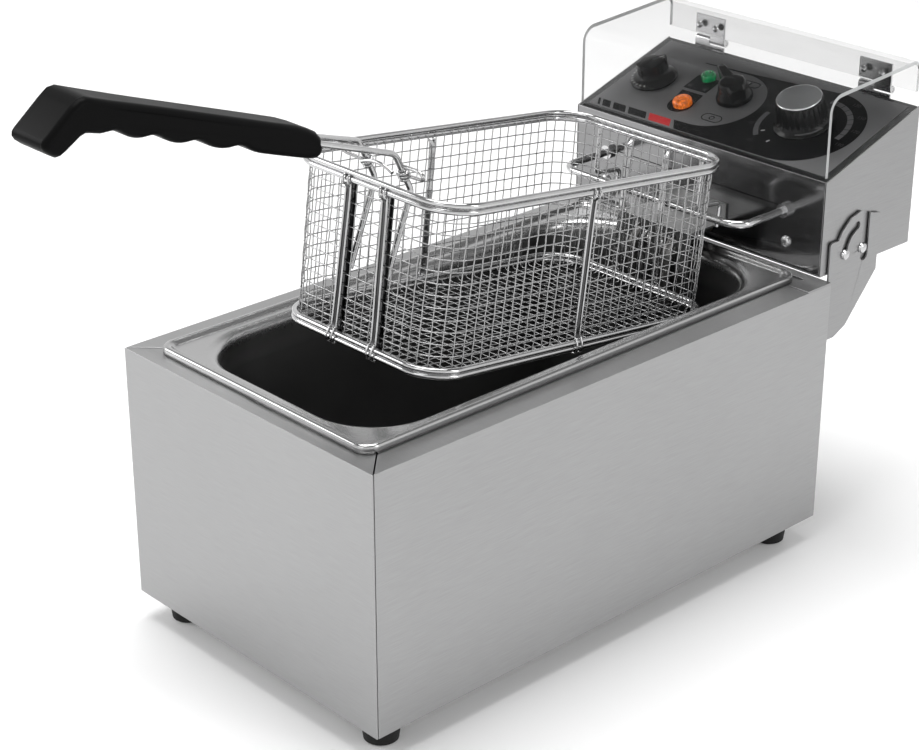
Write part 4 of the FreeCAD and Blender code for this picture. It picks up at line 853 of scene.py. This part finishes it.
def make_switch_knob():
    """A round body with a beak that points at the setting."""
    place = turned_about(SWITCH, 58.0)
    shape = Shape()
    shape.lathe([(3.2, 1.0), (11.4, 1.0), (12.0, 1.6), (12.0, 3.6), (11.4, 5.0), (10.2, 7.2), (9.4, 9.6),
                 (9.0, 12.4), (8.4, 14.0), (7.2, 14.8), (5.0, 15.0)], place, 64)
    rings = []
    for along, half, low, high in ((-11.0, 4.6, 3.2, 12.6), (-9.0, 5.6, 3.0, 14.2), (-3.0, 5.6, 3.0, 15.0),
                                   (4.0, 4.9, 3.0, 15.0), (11.0, 4.0, 4.2, 15.0), (18.0, 3.2, 7.2, 15.0),
                                   (22.5, 2.6, 9.6, 14.8), (23.9, 1.9, 10.8, 14.0)):
        ring = []
        for x, h in ((-1, 0.12), (-0.88, 0.0), (0.88, 0.0), (1, 0.12), (1, 0.8), (0.72, 0.97), (0.4, 1.0),
                     (-0.4, 1.0), (-0.72, 0.97), (-1, 0.8)):
            ring.append(place(x * half, along, low + (high - low) * h))
        rings.append(ring)
    shape.loft(rings, 0, True, True)
    shape.make("switch_knob_body", [black], 40, "switch", "black_plastic", ["switch_knob"])


def make_dial_knob():
    """The fluted thermostat knob with its printed arc, and its spun metal cap."""
    place = turned_about(DIAL, 0.0)
    shape = Shape()

    def flutes(angle, radius, height):
        if height < 6.0 or height > 19.7 or radius < 13:
            return 1.0
        wave = 0.5 + 0.5 * math.cos(24 * angle)
        return 1.0 - 0.045 * wave ** 2

    shape.lathe([(3.2, 1.0), (18.2, 1.0), (18.9, 1.5), (19.0, 2.6), (18.4, 3.3), (17.4, 3.9), (16.8, 4.6),
                 (16.4, 5.6), (16.1, 6.4), (15.8, 10.0), (15.5, 14.0), (15.2, 18.4), (15.0, 19.3),
                 (14.6, 19.75), (14.0, 19.8)], place, 192, 0, flutes)
    shape.plate(band((0, 0), 16.0, 18.3, -68.0, -8.0, 18), place, 4.3, 4.5, 1)
    shape.make("thermostat_knob_body", [black, grey_ink], 30, "thermostat", "black_plastic",
               ["thermostat_knob"])
    cap = Shape()
    cap.lathe([(14.3, 19.85), (14.35, 20.5), (14.1, 20.85), (13.6, 21.0), (12.9, 20.95), (12.4, 20.9),
               (6.0, 20.86), (0.6, 20.84)], lambda x, y, h: Vector((x, y, h)) * MM, 96)
    spin = cap.make("spun_cap_disc", [spun], 50)
    spin.matrix_world = Matrix.Translation(on_panel(*DIAL)) @ Matrix.Rotation(SLOPE, 4, "X")
    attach(spin, "thermostat")
    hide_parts("thermostat_cap")


def make_lamps():
    """Round lenses with a stepped bezel and a faceted top."""
    for name, spot, radius, material, slot in (("green_lamp", GREEN, 5.0, green_lens, "green_lens"),
                                               ("orange_lamp", ORANGE, 6.4, orange_lens, "orange_lens")):
        place = turned_about(spot, 0.0)
        shape = Shape()
        shape.lathe([(radius - 1.0, -22.0), (radius - 1.0, 0.4), (radius, 0.45), (radius, 3.1),
                     (radius - 0.3, 3.9), (radius - 1.0, 4.6), (radius - 1.9, 4.85), (radius - 2.3, 4.75),
                     (radius - 2.6, 4.9), (radius * 0.35, 5.0), (0.3, 5.0)], place, 48)
        shape.make(name + "_lens", [material], 35, "head", slot, [name])


def dot_outline(centre, half_x, half_y, steps=10):
    """A rounded label outline."""
    radius = min(half_x, half_y)
    return [(centre[0] + x, centre[1] + y) for x, y in rounded(half_x, half_y, radius * 0.98, steps, 1)]


def make_print():
    """The printed zones, bars, frames and scale marks on the label."""
    shape = Shape()
    base = 0.38
    level = [base]

    def lay(outline, slot, lift=0.0):
        level[0] += 0.0005
        shape.plate(outline, on_panel, base - 0.02 + lift, level[0] + 0.04 + lift, slot)

    zone = [(-23.5, 4.9)] + arc(DIAL_SCALE, 39.0, -92.0, 88.0, 40)
    zone += [(20.0, 80.2), (-18.0, 77.4), (-56.0, 75.6), (-56.0, 74.8), (-30.0, 75.4)]
    zone += arc((-18.5, 44.6), 31.0, 92.0, -88.0, 40) + [(-30.0, 13.2)]
    lay(zone, 0)
    for top, bottom in (((-95.4, -93.4), (-91.0, -89.0)), ((-91.3, -84.4), (-86.9, -80.0)),
                        ((-81.8, -70.9), (-77.4, -66.5)), ((-68.3, -52.9), (-64.0, -48.6))):
        lay([(bottom[0], 5.9), (bottom[1], 5.9), (top[1], 12.3), (top[0], 12.3)], 0)
    lay([(-46.0, 5.9), (-27.8, 5.9), (-32.0, 12.6), (-50.4, 12.6)], 3)
    lay([(-50.6, 46.2), (-31.4, 46.2), (-31.4, 62.0), (-50.6, 62.0)], 0)
    lay([(-31.2, 43.4), (-49.0, 43.4)] + arc((-38.2, 29.6), 9.2, 168.0, 340.0, 20)
        + [(-29.4, 30.0)], 0)
    for centre, half_x, half_y in (((-11.2, 67.2), 7.8, 3.1), ((-8.4, 25.2), 7.8, 3.9)):
        lay(dot_outline(centre, half_x, half_y), 0)
        lay(dot_outline(centre, half_x - 0.7, half_y - 0.7), 4, 0.02)
    lay([(-12.0, 65.6), (-10.6, 65.6), (-10.6, 68.8), (-12.0, 68.8)], 0, 0.04)
    lay(band((-8.4, 25.2), 1.3, 2.0, 0.0, 359.0, 24), 0, 0.04)
    lay(band(DIAL_SCALE, 28.6, 32.0, 176.0, 226.0, 24), 1, 0.02)
    for index in range(9):
        start = -8.0 + 11.2 * index
        lay(band(DIAL_SCALE, 26.6, 30.4, start, start + 10.3, 4), 1, 0.02)
    for angle in (218.0, 248.0, 150.0, 120.0):
        lay(band(DIAL_SCALE, 24.5, 27.0, angle - 1.0, angle + 1.0, 2), 2, 0.02)
    for x in (-49.0, -36.5):
        lay([(x, 48.2), (x + 3.0, 48.2), (x + 3.0, 51.0), (x, 51.0)], 5, 0.02)
    shape.make("panel_print", [ink, grey_ink, white_ink, red_ink, film, dim_ink], 30, "head", "label_film")


def make_numbers():
    """Temperatures round the dial, as thin raised figures."""
    for text, angle, distance, size in (("60", 232.0, 35.0, 4.2), ("90", 200.0, 35.2, 4.2),
                                        ("110", 166.0, 35.0, 3.6), ("130", 62.0, 35.6, 4.2),
                                        ("150", 37.0, 35.2, 4.2), ("170", 12.0, 34.6, 4.2),
                                        ("190", -14.0, 34.6, 4.2)):
        curve = bpy.data.curves.new("figure_" + text, "FONT")
        curve.body = text
        curve.size = size * MM
        curve.extrude = 0.03 * MM
        curve.align_x = curve.align_y = "CENTER"
        curve.resolution_u = 3
        writer = bpy.data.objects.new("figure_" + text, curve)
        bpy.context.scene.collection.objects.link(writer)
        bpy.context.view_layer.update()
        mesh = bpy.data.meshes.new_from_object(writer)
        bpy.data.objects.remove(writer)
        a = math.radians(angle)
        x, up = DIAL_SCALE[0] + distance * math.cos(a), DIAL_SCALE[1] + distance * math.sin(a)
        spot = on_panel(x, up, FIGURE_HEIGHT)
        figure = bpy.data.objects.new("dial_figure_" + text, mesh)
        bpy.context.scene.collection.objects.link(figure)
        mesh.materials.clear()
        mesh.materials.append(dim_ink)
        mesh.transform(Matrix.Translation(spot) @ Matrix.Rotation(SLOPE, 4, "X"))
        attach(figure, "head")


make_pan()
make_mesh_tub()
make_straps()
make_handle_loops()
make_grip()
make_timer_knob()
make_switch_knob()
make_dial_knob()
make_lamps()
make_print()
make_numbers()


# ---------------------------------------------------------------- floor, light and camera
def floor_look():
    """A pale studio floor with a trace of light of its own, like a lit sweep."""
    look = Look("studio_floor", (0.92, 0.92, 0.92), 0.0, 0.7)
    colour = look.paint(look.noise(2.0, 2.0), 0.99, 1.01)
    look.feed(look.shader.inputs["Emission Color"], colour)
    look.set(Emission_Strength=0.05)
    return look.material


floor_shape = Shape()
floor_shape.add([(-6, -6, 0), (6, -6, 0), (6, 6, 0), (-6, 6, 0)], [(0, 1, 2, 3)])
floor = floor_shape.make("floor", [floor_look()])


def area_light(name, spot, target, size, power, size_y=None):
    """A soft rectangular light that faces its target."""
    light = bpy.data.lights.new(name, "AREA")
    light.shape = "RECTANGLE"
    light.size = size
    light.size_y = size_y or size
    light.energy = power
    lamp = bpy.data.objects.new(name, light)
    bpy.context.scene.collection.objects.link(lamp)
    lamp.location = spot
    lamp.rotation_mode = "QUATERNION"
    lamp.rotation_quaternion = (Vector(target) - Vector(spot)).to_track_quat("-Z", "Y")
    return lamp


area_light("overhead_box", (-0.3, 0.1, 2.3), (0, 0, 0.2), 1.6, 46)
area_light("left_box", (-1.9, -1.2, 1.2), (0, 0, 0.2), 1.0, 16)
area_light("front_box", (0.4, -2.2, 1.5), (0, 0, 0.2), 1.0, 5)
area_light("right_strip", (2.0, 0.5, 1.1), (0, 0.1, 0.2), 0.4, 8, size_y=1.4)


def studio_world():
    """Bright up to half height and dark above it, for contrast in the metal and the sloped panel."""
    world = bpy.data.worlds.new("studio")
    bpy.context.scene.world = world
    world.use_nodes = True
    tree = world.node_tree
    direction = tree.nodes.new("ShaderNodeTexCoord").outputs["Generated"]
    split = tree.nodes.new("ShaderNodeSeparateXYZ")
    tree.links.new(direction, split.inputs["Vector"])
    ramp_node = tree.nodes.new("ShaderNodeValToRGB")
    ramp = ramp_node.color_ramp
    shades = [(0.0, 0.95), (0.08, 0.9), (0.3, 0.95), (0.5, 0.9), (0.64, 0.42), (0.82, 0.12), (1.0, 0.3)]
    while len(ramp.elements) < len(shades):
        ramp.elements.new(0.5)
    for element, (place, shade) in zip(ramp.elements, shades):
        element.position = place
        element.color = (shade, shade, shade, 1)
    tree.links.new(split.outputs["Z"], ramp_node.inputs["Fac"])
    tree.links.new(ramp_node.outputs["Color"], tree.nodes["Background"].inputs["Color"])
    tree.nodes["Background"].inputs["Strength"].default_value = 1.0


studio_world()

scene = bpy.context.scene
scene.view_settings.view_transform = "Standard"
camera_data = bpy.data.cameras.new("photo_camera")
camera = bpy.data.objects.new("photo_camera", camera_data)
scene.collection.objects.link(camera)
camera_data.sensor_width = 36.0
camera_data.lens = 86.96
camera.location = (0.867964, -0.820797, 0.697227)
CAMERA_TURN, CAMERA_DIP = 0.82049, 0.43526
camera.rotation_euler = (math.pi / 2 - CAMERA_DIP, 0.0, CAMERA_TURN)
camera_data.clip_start, camera_data.clip_end = 0.05, 40.0
scene.camera = camera
